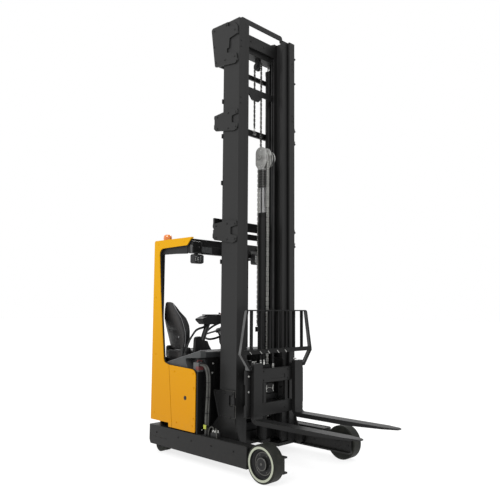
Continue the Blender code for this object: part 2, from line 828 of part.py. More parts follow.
def make_outer_rail(name, side):
    wide = mast_half_width
    flange = outer_flange
    section = [
        (mast_back, outer_lip), (mast_back + flange, outer_lip), (mast_back + flange, wide - outer_web),
        (mast_front - flange, wide - outer_web), (mast_front - flange, outer_lip),
        (mast_front, outer_lip), (mast_front, wide), (mast_back, wide),
    ]
    return plate(name, "z", mast_bottom, mast_top, rail_outline(side, section))


def wear_pads(name, side, ends, y):
    """Sliding pads at the foot of a rail, on the outer faces of its two flanges."""
    pad = stage_gap - roller_clearance
    bite = 0.004
    low = mast_bottom + 0.05
    stretches = (("back", (ends[0] - pad, ends[0] + bite)), ("front", (ends[1] - bite, ends[1] + pad)))
    return [
        side_box(f"{name}_{label}_pad", side, x, (y[0] + 0.01, y[1] - 0.01), (low, low + 0.12))
        for label, x in stretches
    ]


def make_middle_rail(name, side):
    rear, front = middle_back, middle_front
    flange = middle_flange
    web = middle_web_at
    section = [
        (rear, middle_lip), (rear + flange, middle_lip), (rear + flange, web),
        (front - flange, web), (front - flange, middle_lip), (front, middle_lip),
        (front, middle_outer), (front - flange, middle_outer), (front - flange, web + middle_web),
        (rear + flange, web + middle_web), (rear + flange, middle_outer), (rear, middle_outer),
    ]
    rail = plate(name, "z", mast_bottom + 0.01, mast_top, rail_outline(side, section))
    return joined(rail, *wear_pads(name, side, (rear, front), (outer_lip, middle_outer)))


def make_inner_rail(name, side):
    rear, front = inner_back, inner_front
    flange = inner_flange
    web = inner_outer - inner_web
    section = [
        (rear, inner_lip), (rear + flange, inner_lip), (rear + flange, web), (front - flange, web),
        (front - flange, inner_lip), (front, inner_lip), (front, inner_outer), (rear, inner_outer),
    ]
    rail = plate(name, "z", mast_bottom + 0.02, mast_top, rail_outline(side, section))
    return joined(rail, *wear_pads(name, side, (rear, front), (inner_lip, inner_outer)))


def make_reach_carriage():
    inner = mast_half_width + gap
    outer = inner + reach_sheet
    low = mast_bottom - 0.005
    outline = [
        (carriage_back, low), (mast_front + 0.10, low, 0.02), (mast_front + 0.10, low + 0.085, 0.03),
        (mast_front + 0.02, low + 0.215), (mast_front, low + 0.337), (mast_front - 0.007, low + 0.589),
        (carriage_back + 0.031, low + 0.575), (carriage_back + 0.108, low + 0.325),
        (carriage_back, low + 0.211),
    ]
    pocket = [
        (mast_front - 0.08, low + 0.442, 0.012), (mast_front - 0.02, low + 0.442, 0.012),
        (mast_front - 0.02, low + 0.545, 0.012), (mast_front - 0.08, low + 0.545, 0.012),
    ]
    sheets = [
        plate("reach_carriage" if side < 0 else "left_sheet", "y", *sided(side, inner, outer),
              outline, [pocket])
        for _, side in sides
    ]
    carriage, *adds = sheets
    adds.append(box("carriage_box", (carriage_back, -inner - overlap, mast_bottom + 0.01),
                    (mast_back - 0.02, inner + overlap, box_top)))
    roller = channel_height / 2 - channel_flange - roller_clearance
    roller_z = channel_low + channel_height / 2
    roller_y = (inner + 0.006, leg_inner - channel_web - running_gap)
    for name, side in sides:
        adds.append(side_box(f"{name}_base", side, (mast_back - 0.03, mast_front - 0.015),
                             (0.19, inner + overlap), (channel_low + 0.007, mast_bottom - gap)))
        for end, x in (("rear", carriage_back + 0.058), ("front", mast_front + 0.05)):
            adds.append(rod(f"{name}_{end}_roller", (x, side * sum(roller_y) / 2, roller_z), "y", roller,
                            roller_y[1] - roller_y[0]))
    return joined(carriage, *adds)


# The side plates of the ties round the outer mast: (from the mast's front, from the tie's level)
top_tie_outline = [
    (-0.41, 0.002, 0.025), (-0.155, -0.005), (-0.155, -0.05), (-0.072, -0.08), (-0.072, -0.03),
    (-0.012, -0.09, 0.03), (-0.011, -0.168), (-0.13, -0.188), (-0.136, -0.284), (-0.166, -0.289),
    (-0.165, -0.332), (-0.028, -0.37, 0.02), (-0.017, -0.43, 0.02), (-0.036, -0.478, 0.02),
    (-0.346, -0.437, 0.02),
]
tie_outline = [
    (-0.01, 0.10), (0.0, 0.058), (-0.086, 0.044), (-0.085, -0.025), (0.0, -0.05), (-0.017, -0.102),
    (-0.055, -0.114), (-0.322, -0.067), (-0.349, -0.04), (-0.349, -0.001), (-0.334, 0.009),
    (-0.334, 0.045), (-0.35, 0.07), (-0.346, 0.097), (-0.106, 0.118),
]
# Each tie: name, level, side plate, and its beams as (back, front, low, high)
tie_rows = (
    ("mast_tie_top", mast_top, top_tie_outline, (
        (-0.385, -0.35, -0.14, -0.04), (-0.346, -0.326, -0.42, -0.37))),
    ("mast_tie_upper", 3.37, tie_outline, ((-0.347, -0.325, 0.0, 0.069),)),
    ("mast_tie_lower", 2.24, tie_outline, ((-0.347, -0.325, -0.02, 0.04), (-0.347, -0.325, 0.066, 0.16))),
)


def make_tie(name, level, outline, beams):
    inner = mast_half_width + gap
    placed_outline = [(mast_front + x, level + z, *fillet) for x, z, *fillet in outline]
    sheets = [
        plate(name if side < 0 else f"{name}_left", "y", *sided(side, inner, inner + tie_plate),
              placed_outline)
        for _, side in sides
    ]
    tie, *adds = sheets
    for i, (rear, front, low, high) in enumerate(beams):
        adds.append(box(f"{name}_beam_{i}", (mast_front + rear, -inner - overlap, level + low),
                        (mast_front + front, inner + overlap, level + high)))
    return joined(tie, *adds)


def make_lift_cylinders():
    foot = box_top + gap
    height = lift_barrel_top - foot
    radius = lift_barrel_radius
    collar = radius + 0.003
    bore = lift_rod_radius + bore_clearance
    for name, side in sides:
        at = (lift_cylinder_x, side * lift_cylinder_y)
        turned_open(f"lift_cylinder_{name}", (*at, foot), [
            (collar, height), (collar, height - 0.04), (radius, height - 0.044), (radius, 0.0),
            (0.0, 0.0), (0.0, bore_foot), (bore, bore_foot), (bore, height),
        ], 24)
        low = foot + bore_foot + gap
        high = middle_beam_low - gap
        rod(f"lift_rod_{name}", (*at, (low + high) / 2), "z", lift_rod_radius, high - low)


def turned_open(name, centre, profile, steps):
    """A turned cup: its profile goes down the outside, across the axis and up the inside."""
    mesh = bpy.data.meshes.new(name)
    points = [(radius, 0.0, height) for radius, height in profile]
    edges = [(i, i + 1) for i in range(len(points) - 1) if points[i][0] > 0 or points[i + 1][0] > 0]
    edges.append((len(points) - 1, 0))
    mesh.from_pydata(points, edges, [])
    thing = placed(name, mesh, Matrix.Translation(centre))
    screw = thing.modifiers.new("turn", "SCREW")
    screw.steps = steps
    screw.render_steps = steps
    screw.use_merge_vertices = True
    screw.merge_threshold = 0.00005
    screw.use_smooth_shade = True
    return thing


def make_middle_bars():
    beam = box("middle_top_beam", (lift_cylinder_x - 0.045, -lift_cylinder_y - 0.02, middle_beam_low),
               (middle_back - gap, lift_cylinder_y + 0.02, middle_beam_low + 0.09), bevel=0.006)
    pulley_x = mast_back - 0.03
    pulley_z = middle_beam_low - 0.07
    rim = 0.05
    groove = 0.042
    half = 0.018
    pin = 0.0125
    pin_half = 0.032
    adds = []
    for name, side in sides:
        y = side * 0.11
        adds.append(turned(f"{name}_pulley", (pulley_x, y, pulley_z), "y", [
            (0.0, pin_half), (pin, pin_half), (pin, half), (rim, half), (rim, half - 0.004),
            (groove, half - 0.01), (groove, -half + 0.01), (rim, -half + 0.004), (rim, -half),
            (pin, -half), (pin, -pin_half), (0.0, -pin_half),
        ], 24))
        for end, at in (("inner", -half - 0.005), ("outer", half + 0.005)):
            adds.append(box(f"{name}_{end}_hanger", (pulley_x - 0.02, y + at - 0.004, pulley_z - 0.02),
                            (pulley_x + 0.02, y + at + 0.004, middle_beam_low + overlap)))
    joined(beam, *adds)
    half_bar = middle_lip - gap
    box("middle_foot_bar", (middle_back, -half_bar, mast_bottom + 0.12),
        (middle_back + 0.016, half_bar, mast_bottom + 0.22))


def make_inner_bars():
    half = inner_lip - gap
    box("inner_top_bar", (inner_back, -half, mast_top - 0.16), (inner_back + inner_flange, half, mast_top - 0.03))
    low = mast_top + gap
    top = mast_top + hoop_height
    wide = inner_outer - 0.004
    under = top - 0.054
    middle = (inner_back + inner_front) / 2 + 0.02
    plate("inner_hoop", "x", middle - 0.006, middle + 0.006, [
        (-wide, low), (-wide + hoop_bar, low), (-wide + hoop_bar, under, 0.01),
        (wide - hoop_bar, under, 0.01), (wide - hoop_bar, low), (wide, low),
        (wide, top, 0.03), (-wide, top, 0.03),
    ])


def make_free_lift():
    half = inner_lip - gap
    base = box("free_lift_cylinder", (inner_back, -half, free_foot),
               (inner_back + inner_flange, half, free_foot + 0.1))
    seat = box("free_seat", (inner_back + 0.006, -0.065, free_foot + 0.005),
               (free_cylinder_x + free_barrel_radius + 0.004, 0.065, free_foot + 0.03))
    start = free_foot + 0.02
    height = free_barrel_top - start
    bore = free_rod_radius + bore_clearance
    barrel = turned_open("free_barrel", (free_cylinder_x, 0, start), [
        (free_barrel_radius, height), (free_barrel_radius, 0.0), (0.0, 0.0), (0.0, bore_foot),
        (bore, bore_foot), (bore, height),
    ], 32)
    bracket = box("chain_bracket", (free_cylinder_x - chain_offset - 0.018, -0.022, chain_bracket_top - 0.05),
                  (free_cylinder_x - free_rod_radius - 0.008, 0.022, chain_bracket_top))
    joined(base, seat, barrel, bracket)
    rod_low = free_foot + 0.28
    head = rod("free_lift_head", (free_cylinder_x, 0, (rod_low + head_low + 0.02) / 2), "z",
               free_rod_radius, head_low + 0.02 - rod_low)
    cheek_low = head_low + 0.19
    cheek_top = sheave_z + 0.11
    adds = [
        box("crosshead", (free_cylinder_x - 0.035, -0.045, head_low),
            (free_cylinder_x + 0.035, 0.045, cheek_low + 0.02), bevel=0.008),
        rod("sheave_pin", (free_cylinder_x, 0.02, sheave_z), "y", 0.015, 0.16, 20),
        turned("hose_sheave", (free_cylinder_x, 0.075, sheave_z), "y", [
            (0.0, 0.02), (sheave_rim, 0.02), (sheave_rim, 0.016), (sheave_rim - 0.016, 0.009),
            (sheave_rim - 0.016, -0.009), (sheave_rim, -0.016), (sheave_rim, -0.02), (0.0, -0.02),
        ], 32),
        turned("chain_sheave", (free_cylinder_x, 0, sheave_z), "y", [
            (0.0, 0.026), (sheave_rim - 0.004, 0.026), (sheave_rim, 0.0225), (sheave_groove, 0.0185),
            (sheave_groove, -0.0185), (sheave_rim, -0.0225), (sheave_rim - 0.004, -0.026), (0.0, -0.026),
        ], 32),
    ]
    for name, side in sides:
        x = free_cylinder_x
        adds.append(plate(f"{name}_head_cheek", "y", *sided(side, 0.031, 0.043), [
            (x - 0.03, cheek_low), (x + 0.03, cheek_low), (x + 0.07, cheek_low + 0.06, 0.03),
            (x + 0.07, cheek_top, 0.06), (x - 0.07, cheek_top, 0.06), (x - 0.07, cheek_low + 0.06, 0.03),
        ]))
    return joined(head, *adds)


def make_chain(name, x, low, high):
    """A straight run of leaf chain, its plates' waists cut into both edges."""
    full = chain_depth / 2
    waist = chain_waist / 2
    right = [(x + waist, low)]
    for i in range(int((high - low) / chain_pattern)):
        start = low + chain_pattern * i
        right += [
            (x + full, start + 0.008), (x + full, start + chain_pattern - 0.008),
            (x + waist, start + chain_pattern - 0.003),
        ]
    right.append((x + waist, high))
    left = [(2 * x - across, z) for across, z in reversed(right)]
    return plate(name, "y", -chain_width / 2, chain_width / 2, [*right, *left])


def make_carriage():
    roller_radius = (inner_front - inner_back) / 2 - inner_flange - roller_clearance
    roller_x = (inner_front + inner_back) / 2
    cheek_y = (cheek_outer - 0.02, cheek_outer)
    guide_y = (cheek_outer - 0.01, inner_outer - inner_web - 0.009)
    front_plate = box("lift_carriage", (carriage_plate_back, -cheek_outer - 0.005, fork_top + 0.052),
                      (carriage_plate_front, cheek_outer + 0.005, carriage_plate_top))
    cut(front_plate, box("carriage_window", (carriage_plate_back - 0.05, -0.15, fork_top + 0.132),
                         (carriage_plate_front + 0.05, 0.15, fork_top + 0.352)))
    adds = [
        box("chain_anchor", (free_cylinder_x + chain_offset - 0.009, -0.12, carriage_plate_top - 0.02),
            (carriage_plate_front - 0.004, 0.03, chain_anchor_top)),
    ]
    for i, y in enumerate((-0.099, -0.052)):
        adds.append(rod(f"anchor_stud_{i}", (mast_front + 0.003, y, chain_anchor_top + 0.035), "z",
                        0.008, 0.11, 12))
    for name, side in sides:
        adds.append(plate(f"{name}_cheek", "y", *sided(side, *cheek_y), [
            (roller_x - 0.03, fork_top + 0.102, 0.02), (carriage_plate_front - 0.005, fork_top + 0.102, 0.02),
            (carriage_plate_front - 0.005, fork_top + 0.532, 0.02), (roller_x - 0.03, fork_top + 0.532, 0.02),
        ]))
        for end, z in (("low", fork_top + 0.152), ("high", fork_top + 0.472)):
            adds.append(rod(f"{name}_{end}_guide", (roller_x, side * sum(guide_y) / 2, z), "y",
                            roller_radius, guide_y[1] - guide_y[0]))
        adds.append(side_box(f"{name}_ear", side, (carriage_plate_front - 0.01, hinge_x + 0.025),
                             (0.19, 0.225), (hinge_z - 0.04, hinge_z + 0.04), bevel=0.01))
    joined(front_plate, *adds)
    return cut(front_plate, rod("hinge_bore", (hinge_x, 0, hinge_z), "y", hinge_radius + axle_clearance, 0.7))


def make_carrier():
    """The tilting fork carrier: two bars, two uprights, a centre plate and its hinge pins."""
    rear, front = carrier_back, carrier_front
    wide = carrier_half_width
    upper = box("fork_carrier", (rear, -wide, upper_bar[0]), (front, wide, upper_bar[1]), bevel=0.006)
    adds = [
        box("lower_bar", (rear, -wide, lower_bar[0]), (front, wide, lower_bar[1]), bevel=0.006),
        box("centre_plate", (front - 0.01, -0.21, upper_bar[0] + 0.008), (front + 0.003, 0.21, upper_bar[1] - 0.008)),
    ]
    for name, side in sides:
        adds += [
            side_box(f"{name}_upright", side, (rear + 0.004, front - 0.004), (0.14, 0.18),
                     (lower_bar[0] + 0.04, upper_bar[0] + 0.05)),
            side_box(f"{name}_lug", side, (hinge_x - 0.03, front - 0.012), (0.15, 0.185),
                     (hinge_z - 0.035, hinge_z + 0.035)),
            rod(f"{name}_pin", (hinge_x, side * 0.20, hinge_z), "y", hinge_radius, 0.07),
            side_box(f"{name}_strip", side, (front - 0.02, front + 0.004), (0.37, 0.416),
                     (fork_top + 0.087, fork_top + 0.432)),
        ]
    joined(upper, *adds)
    return cut(upper, box("plate_groove", (front - 0.001, -0.10, upper_bar[0] + 0.03),
                          (front + 0.01, 0.13, upper_bar[0] + 0.07)))


def make_backrest():
    rear = fork_face - fork_thickness + inset
    x = (rear, rear + 0.03)
    low = upper_bar[1] + gap
    shoulder = low + 0.15
    sill = shoulder + 0.04
    head = rest_top - 0.012
    spacing = 0.125
    bar = 0.008
    lines = [spacing * i for i in range(-3, 4)]
    holes = [
        [(-0.494, sill), (lines[0] - bar, sill), (lines[0] - bar, head), (-0.43, head)],
        [(lines[-1] + bar, sill), (0.494, sill), (0.43, head), (lines[-1] + bar, head)],
    ]
    for before, after in zip(lines, lines[1:]):
        holes.append([(before + bar, sill), (after - bar, sill), (after - bar, head), (before + bar, head)])
    rest = plate("load_backrest", "x", *x, [
        (-0.41, low), (-0.37, low), (-0.485, shoulder), (0.485, shoulder), (0.37, low), (0.41, low),
        (0.53, shoulder + 0.005), (0.45, rest_top, 0.03), (-0.45, rest_top, 0.03), (-0.53, shoulder + 0.005),
    ], holes)
    feet = [
        side_box(f"{name}_rest_foot", side, (rear - 0.03, rear + overlap), (0.372, 0.408), (low, low + 0.03))
        for name, side in sides
    ]
    return joined(rest, *feet)


def make_fork(name, y):
    """A fork with a bent heel, a tapering tip and a hook over the carrier's upper bar."""
    heel_low = fork_top - fork_thickness
    rear = fork_face - fork_thickness
    tip = fork_face + fork_length
    half = fork_width / 2
    end = fork_tip_width / 2
    fork = plate(name, "y", y - half - overlap, y + half + overlap, [
        (rear, shank_top), (fork_face, shank_top), (fork_face, fork_top, fork_heel_radius - fork_thickness),
        (tip - 0.03, fork_top), (tip, fork_top - 0.005), (tip, fork_top - 0.012), (tip - 0.55, heel_low),
        (rear, heel_low, fork_heel_radius),
    ])
    plan = plate(f"{name}_plan", "z", heel_low - overlap, shank_top + overlap, [
        (rear - 0.05, y - half), (tip - fork_tip_taper, y - half), (tip - 0.004, y - end, 0.01),
        (tip - 0.004, y + end, 0.01), (tip - fork_tip_taper, y + half), (rear - 0.05, y + half),
    ])
    combine(fork, [plan], "INTERSECT")
    hook = box(f"{name}_hook", (carrier_back + 0.003, y - half + inset, upper_bar[1] + gap),
               (rear + 0.005, y + half - inset, upper_bar[1] + 0.035))
    return joined(fork, hook)


def make_reach_cylinder():
    rear = reach_barrel_back
    length = channel_start - running_gap - rear
    foot_thickness = 0.02
    bore = reach_rod_radius + bore_clearance
    barrel = turned_open("reach_cylinder", (0, 0, 0), [
        (reach_barrel_radius, length), (reach_barrel_radius, 0.0), (0.0, 0.0), (0.0, foot_thickness),
        (bore, foot_thickness), (bore, length),
    ], 24)
    barrel.matrix_world = Matrix.Translation((rear, reach_y, reach_z)) @ turn_to("x")
    foot = box("reach_foot", (rear + 0.02, reach_y - 0.025, reach_z),
               (rear + 0.09, reach_y + 0.025, deck_low - gap))
    joined(barrel, foot)
    cut(barrel, rod("reach_foot_bore", (rear + foot_thickness + 0.28, reach_y, reach_z), "x", bore, 0.56))
    start = rear + foot_thickness + inset
    end = carriage_back - gap
    rod("reach_rod", ((start + end) / 2, reach_y, reach_z), "x", reach_rod_radius, end - start)


def dress(thing, finish):
    colour, metallic, roughness = finishes[finish]
    material = bpy.data.materials.new(f"{thing.name}_{finish}")
    material.use_nodes = True
    shader = material.node_tree.nodes["Principled BSDF"]
    shader.inputs["Base Color"].default_value = (*colour, 1.0)
    shader.inputs["Metallic"].default_value = metallic
    shader.inputs["Roughness"].default_value = roughness
    thing.data.materials.clear()
    thing.data.materials.append(material)


make_chassis()
make_drive()
make_caster()
for side_name, side_sign in sides:
    make_load_wheel("load_wheel_" + side_name, side_sign)
    make_guard_side("guard_side_" + side_name, side_sign)
    make_outer_rail("outer_rail_" + side_name, side_sign)
    make_middle_rail("middle_rail_" + side_name, side_sign)
    make_inner_rail("inner_rail_" + side_name, side_sign)
make_roof()
make_guard_front()
make_body()
make_seat()
make_armrest()
make_steering()
make_pedals()
make_cables()
make_lights()
make_reach_carriage()
for row in tie_rows:
    make_tie(*row)
make_lift_cylinders()
make_middle_bars()
make_inner_bars()
make_free_lift()
make_carriage()
make_carrier()
make_backrest()
make_fork("fork_right", -fork_y)
make_fork("fork_left", fork_y)
make_chain("lift_chain", free_cylinder_x + chain_offset, chain_anchor_top + gap, sheave_z - gap)
make_chain("anchor_chain", free_cylinder_x - chain_offset, chain_bracket_top + gap, sheave_z - gap)
make_reach_cylinder()

# Moving groups: joint place, the group it rides on, and its nodes
groups = {
    "truck_origin": ((0, 0, 0), None, []),
    "drive_steering": ((drive_x, drive_y, turret_top), "truck_origin", ["drive_yoke"]),
    "drive_axis": (
        (drive_x, drive_y, drive_wheel_diameter / 2), "drive_steering", ["drive_wheel"]),
    "caster_swivel": ((caster_x, caster_y, chassis_top), "truck_origin", ["caster_fork"]),
    "caster_axis": (
        (caster_x - caster_trail, caster_y, caster_wheel_diameter / 2), "caster_swivel",
        ["caster_wheels"]),
    "reach": ((body_front, 0, reach_z), "truck_origin", [
        "reach_carriage", "outer_rail_right", "outer_rail_left", "mast_tie_top",
        "mast_tie_upper", "mast_tie_lower", "lift_cylinder_right", "lift_cylinder_left",
        "reach_rod"]),
    "middle_stage": ((mast_front, 0, mast_bottom), "reach", [
        "middle_rail_right", "middle_rail_left", "middle_top_beam", "middle_foot_bar",
        "lift_rod_right", "lift_rod_left"]),
    "inner_stage": ((mast_front, 0, mast_bottom), "middle_stage", [
        "inner_rail_right", "inner_rail_left", "inner_top_bar", "inner_hoop",
        "free_lift_cylinder", "anchor_chain"]),
    "free_lift": ((free_cylinder_x, 0, free_barrel_top), "inner_stage", ["free_lift_head"]),
    "lifting": ((carriage_plate_front, 0, hinge_z), "inner_stage", ["lift_carriage", "lift_chain"]),
    "tilt": ((hinge_x, 0, hinge_z), "lifting", [
        "fork_carrier", "load_backrest", "fork_right", "fork_left"]),
}
finish_of = {
    "guard_side": "yellow_paint", "side_cover": "yellow_paint", "rear_cover": "yellow_paint",
    "load_wheel": "tyre", "drive_wheel": "tyre", "caster_wheels": "tyre",
    "seat_cushion": "seat_vinyl", "seat_back": "seat_vinyl", "seat_pedestal": "dark_plastic",
    "battery_hood": "grey_plastic", "side_cowl": "grey_plastic", "armrest": "dark_plastic",
    "steering": "dark_plastic", "pedals": "dark_plastic", "control_cable": "dark_plastic",
    "battery_cables": "dark_plastic", "lift_chain": "steel", "anchor_chain": "steel",
    "work_lamp": "lamp", "beacon": "beacon", "lift_rod": "steel", "reach_rod": "steel",
    "free_lift_head": "steel",
}


def assemble():
    """Hangs every piece on the empty of its moving group and moves the truck into place."""
    bpy.context.view_layer.update()
    empties = {}
    home = {}
    for name, (place, parent, nodes) in groups.items():
        empty = bpy.data.objects.new(name, None)
        truck.objects.link(empty)
        empties[name] = empty
        empty.location = place
        if parent:
            empty.parent = empties[parent]
            empty.location = Vector(place) - Vector(groups[parent][0])
        for node in nodes:
            home[node] = name
    for thing in [*truck.objects, *tools.objects]:
        if thing.type == "EMPTY":
            continue
        group = home.get(thing.name, "truck_origin")
        if thing.name in tools.objects:
            group = home.get(tool_owner(thing), "truck_origin")
        world = thing.matrix_world.copy()
        thing.parent = empties[group]
        thing.matrix_parent_inverse = Matrix.Identity(4)
        thing.matrix_basis = Matrix.Translation(Vector(groups[group][0])).inverted() @ world
        if thing.name in truck.objects:
            found = [finish for start, finish in finish_of.items() if thing.name.startswith(start)]
            dress(thing, found[0] if found else "black_paint")
    empties["truck_origin"].location = (truck_shift, 0, 0)


def tool_owner(tool):
    """The node that a Boolean tool works on, through other tools if need be."""
    for thing in [*truck.objects, *tools.objects]:
        for step in thing.modifiers:
            if step.type == "BOOLEAN" and step.object == tool:
                return thing.name if thing.name in truck.objects else tool_owner(thing)
    return None


assemble()
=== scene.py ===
"""Looks of the reach truck: finishes, seat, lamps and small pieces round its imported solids.

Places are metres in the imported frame: +X to the fork tips, +Y to the truck's left and
+Z up. Most are counted along X from the axle of the load wheels.
"""

import math

import bmesh
import bpy
from mathutils import Matrix, Vector


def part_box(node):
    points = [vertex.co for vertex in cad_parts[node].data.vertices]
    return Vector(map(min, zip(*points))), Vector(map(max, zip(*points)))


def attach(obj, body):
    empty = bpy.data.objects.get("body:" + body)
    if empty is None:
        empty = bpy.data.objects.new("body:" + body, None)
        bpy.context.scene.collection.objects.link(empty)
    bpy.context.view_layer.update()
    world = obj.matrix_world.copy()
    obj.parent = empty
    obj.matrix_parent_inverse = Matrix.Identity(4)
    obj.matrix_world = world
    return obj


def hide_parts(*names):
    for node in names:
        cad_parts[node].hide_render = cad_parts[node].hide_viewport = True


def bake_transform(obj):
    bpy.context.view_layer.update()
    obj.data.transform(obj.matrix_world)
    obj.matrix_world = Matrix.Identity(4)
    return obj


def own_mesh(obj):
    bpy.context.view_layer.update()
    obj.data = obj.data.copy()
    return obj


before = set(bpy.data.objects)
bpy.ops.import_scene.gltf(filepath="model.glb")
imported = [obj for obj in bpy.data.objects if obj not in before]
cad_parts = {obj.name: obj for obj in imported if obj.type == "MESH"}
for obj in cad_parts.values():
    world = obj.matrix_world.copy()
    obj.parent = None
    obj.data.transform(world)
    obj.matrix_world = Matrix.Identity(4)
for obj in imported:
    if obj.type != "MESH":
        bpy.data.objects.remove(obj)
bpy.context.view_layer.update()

wheel_low, wheel_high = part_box("load_wheel_right")
axle_x = (wheel_low.x + wheel_high.x) / 2
axle_z = (wheel_low.z + wheel_high.z) / 2


def at(x, y, z):
    """A place counted along X from the load axle."""
    return Vector((axle_x + x, y, z))


def put(name, data):
    """A new object in the scene."""
    thing = bpy.data.objects.new(name, data)
    bpy.context.scene.collection.objects.link(thing)
    return thing


def soften(thing, width, segments, angle):
    """A small round on every edge sharper than an angle, so that it catches light."""
    edge = thing.modifiers.new("edges", "BEVEL")
    edge.width = width
    edge.segments = segments
    edge.limit_method = "ANGLE"
    edge.angle_limit = math.radians(angle)
    return edge


# Camera and studio


def make_camera():
    """The photograph's view: its place, where it turns and how far it is rolled."""
    turn = math.radians(44.294)
    rise = math.radians(5.698)
    roll = math.radians(0.408)
    ahead = Vector((-math.sin(turn) * math.cos(rise), math.cos(turn) * math.cos(rise), math.sin(rise)))
    right = ahead.cross(Vector((0, 0, 1))).normalized()
    up = right.cross(ahead)
    rolled = right * math.cos(roll) + up * math.sin(roll)
    upright = up * math.cos(roll) - right * math.sin(roll)
    lens = bpy.data.cameras.new("camera")
    lens.sensor_width = 36.0
    lens.lens = 41.51
    camera = put("camera", lens)
    place = Matrix((rolled, upright, -ahead)).transposed().to_4x4()
    place.translation = at(3.4666, -4.3427, 1.4963)
    camera.matrix_world = place
    bpy.context.scene.camera = camera


def area_light(name, place, aim, size, power):
    """A round soft light at a place, turned to an aim."""
    lamp = bpy.data.lights.new(name, "AREA")
    lamp.shape = "DISK"
    lamp.size = size
    lamp.energy = power
    thing = put(name, lamp)
    thing.location = place
    thing.rotation_euler = (Vector(aim) - Vector(place)).to_track_quat("-Z", "Y").to_euler()


def make_studio():
    """A pale floor, a white sky and three soft lights."""
    world = bpy.data.worlds.new("studio")
    world.use_nodes = True
    sky = world.node_tree.nodes["Background"]
    sky.inputs["Color"].default_value = (1.0, 1.0, 1.0, 1.0)
    sky.inputs["Strength"].default_value = 1.0
    bpy.context.scene.world = world
    bpy.context.scene.view_settings.view_transform = "Standard"
    floor = bpy.data.meshes.new("floor")
    shape = bmesh.new()
    bmesh.ops.create_grid(shape, x_segments=1, y_segments=1, size=60.0)
    shape.to_mesh(floor)
    shape.free()
    ground = put("floor", floor)
    pale = Finish("pale_floor", {"Roughness": 0.95, "Specular IOR Level": 0.1, "Emission Strength": 0.80})
    grain = pale.noise(3.0, detail=2.0)
    pale.colour(pale.blend(grain, grey(0.26), grey(0.28)))
    pale.feed("Emission Color", pale.blend(grain, grey(0.98), grey(1.0)))
    floor.materials.append(pale.material)
    area_light("key", (2.0, -7.0, 6.5), (0, 0, 1.6), 4.0, 330)
    area_light("side", (7.5, -0.5, 4.0), (0, 0, 1.2), 3.5, 60)
    area_light("back", (-5.0, 4.0, 6.0), (0, 0, 2.0), 3.0, 130)


# Finishes


def grey(level):
    return (level, level, level, 1)


def darker(base, share):
    return tuple(value * share for value in base[:3]) + (1,)


class Signal:
    """One value in a finish's nodes: arithmetic on it adds the nodes that work it out."""

    def __init__(self, finish, socket):
        self.finish = finish
        self.socket = socket

    def math(self, operation, *terms):
        return self.finish.node("ShaderNodeMath", {"operation": operation}, terms)

    def __add__(self, other):
        return self.math("ADD", self, other)

    def __sub__(self, other):
        return self.math("SUBTRACT", self, other)

    def __rsub__(self, other):
        return self.math("SUBTRACT", other, self)

    def __mul__(self, other):
        return self.math("MULTIPLY", self, other)

    def __pow__(self, power):
        return self.math("POWER", self, power)

    __radd__ = __add__
    __rmul__ = __mul__

    def spread(self, low, high, to_low=0.0, to_high=1.0):
        """This value's stretch from low to high laid over another, and held at its ends."""
        rows = (self, low, high, to_low, to_high)
        return self.finish.node("ShaderNodeMapRange", {"interpolation_type": "SMOOTHSTEP"}, rows)


class Finish:
    """A node material round one Principled shader."""

    def __init__(self, name, constants):
        self.material = bpy.data.materials.new(name)
        self.material.use_nodes = True
        self.tree = self.material.node_tree
        self.shader = self.tree.nodes["Principled BSDF"]
        for socket, value in constants.items():
            self.shader.inputs[socket].default_value = value
        self.place = self.node("ShaderNodeTexCoord", {}, (), output="Object")

    def node(self, kind, settings, inputs=(), output=0):
        """Adds a node: its settings first, then the values or links of its sockets."""
        made = self.tree.nodes.new(kind)
        for name, value in settings.items():
            setattr(made, name, value)
        pairs = inputs.items() if isinstance(inputs, dict) else enumerate(inputs)
        for key, value in pairs:
            if isinstance(value, Signal):
                self.tree.links.new(value.socket, made.inputs[key])
            else:
                made.inputs[key].default_value = value
        return Signal(self, made.outputs[output])

    def math(self, operation, *terms):
        return self.node("ShaderNodeMath", {"operation": operation}, terms)

    def feed(self, socket, signal):
        self.tree.links.new(signal.socket, self.shader.inputs[socket])

    def colour(self, signal):
        self.feed("Base Color", signal)

    def blend(self, share, first, second):
        return self.node("ShaderNodeMix", {"data_type": "RGBA"}, {0: share, 6: first, 7: second}, output=2)

    def noise(self, scale, detail=3.0, roughness=0.5, place=None):
        rows = {"Vector": place or self.place, "Scale": scale, "Detail": detail, "Roughness": roughness}
        return self.node("ShaderNodeTexNoise", {}, rows, output=0)

    def cells(self, scale):
        return self.node("ShaderNodeTexVoronoi", {}, {"Vector": self.place, "Scale": scale}, output=0)

    def along(self, axis):
        """The place along X, Y or Z."""
        return self.node("ShaderNodeSeparateXYZ", {}, (self.place,), output="XYZ".index(axis))

    def toward(self, axis, low, high):
        """How far a face looks along X (0), Y (1) or Z (2), from low to high."""
        normal = self.node("ShaderNodeTexCoord", {}, (), output="Normal")
        return self.node("ShaderNodeSeparateXYZ", {}, (normal,), output=axis).spread(low, high)

    def stretched(self, x, y, z):
        """The place with its axes stretched, for grain that runs one way."""
        rows = {0: self.place, 1: (x, y, z)}
        return self.node("ShaderNodeVectorMath", {"operation": "MULTIPLY"}, rows)

    def bumps(self, height, strength, distance):
        rows = {"Height": height, "Strength": strength, "Distance": distance}
        self.feed("Normal", self.node("ShaderNodeBump", {}, rows))


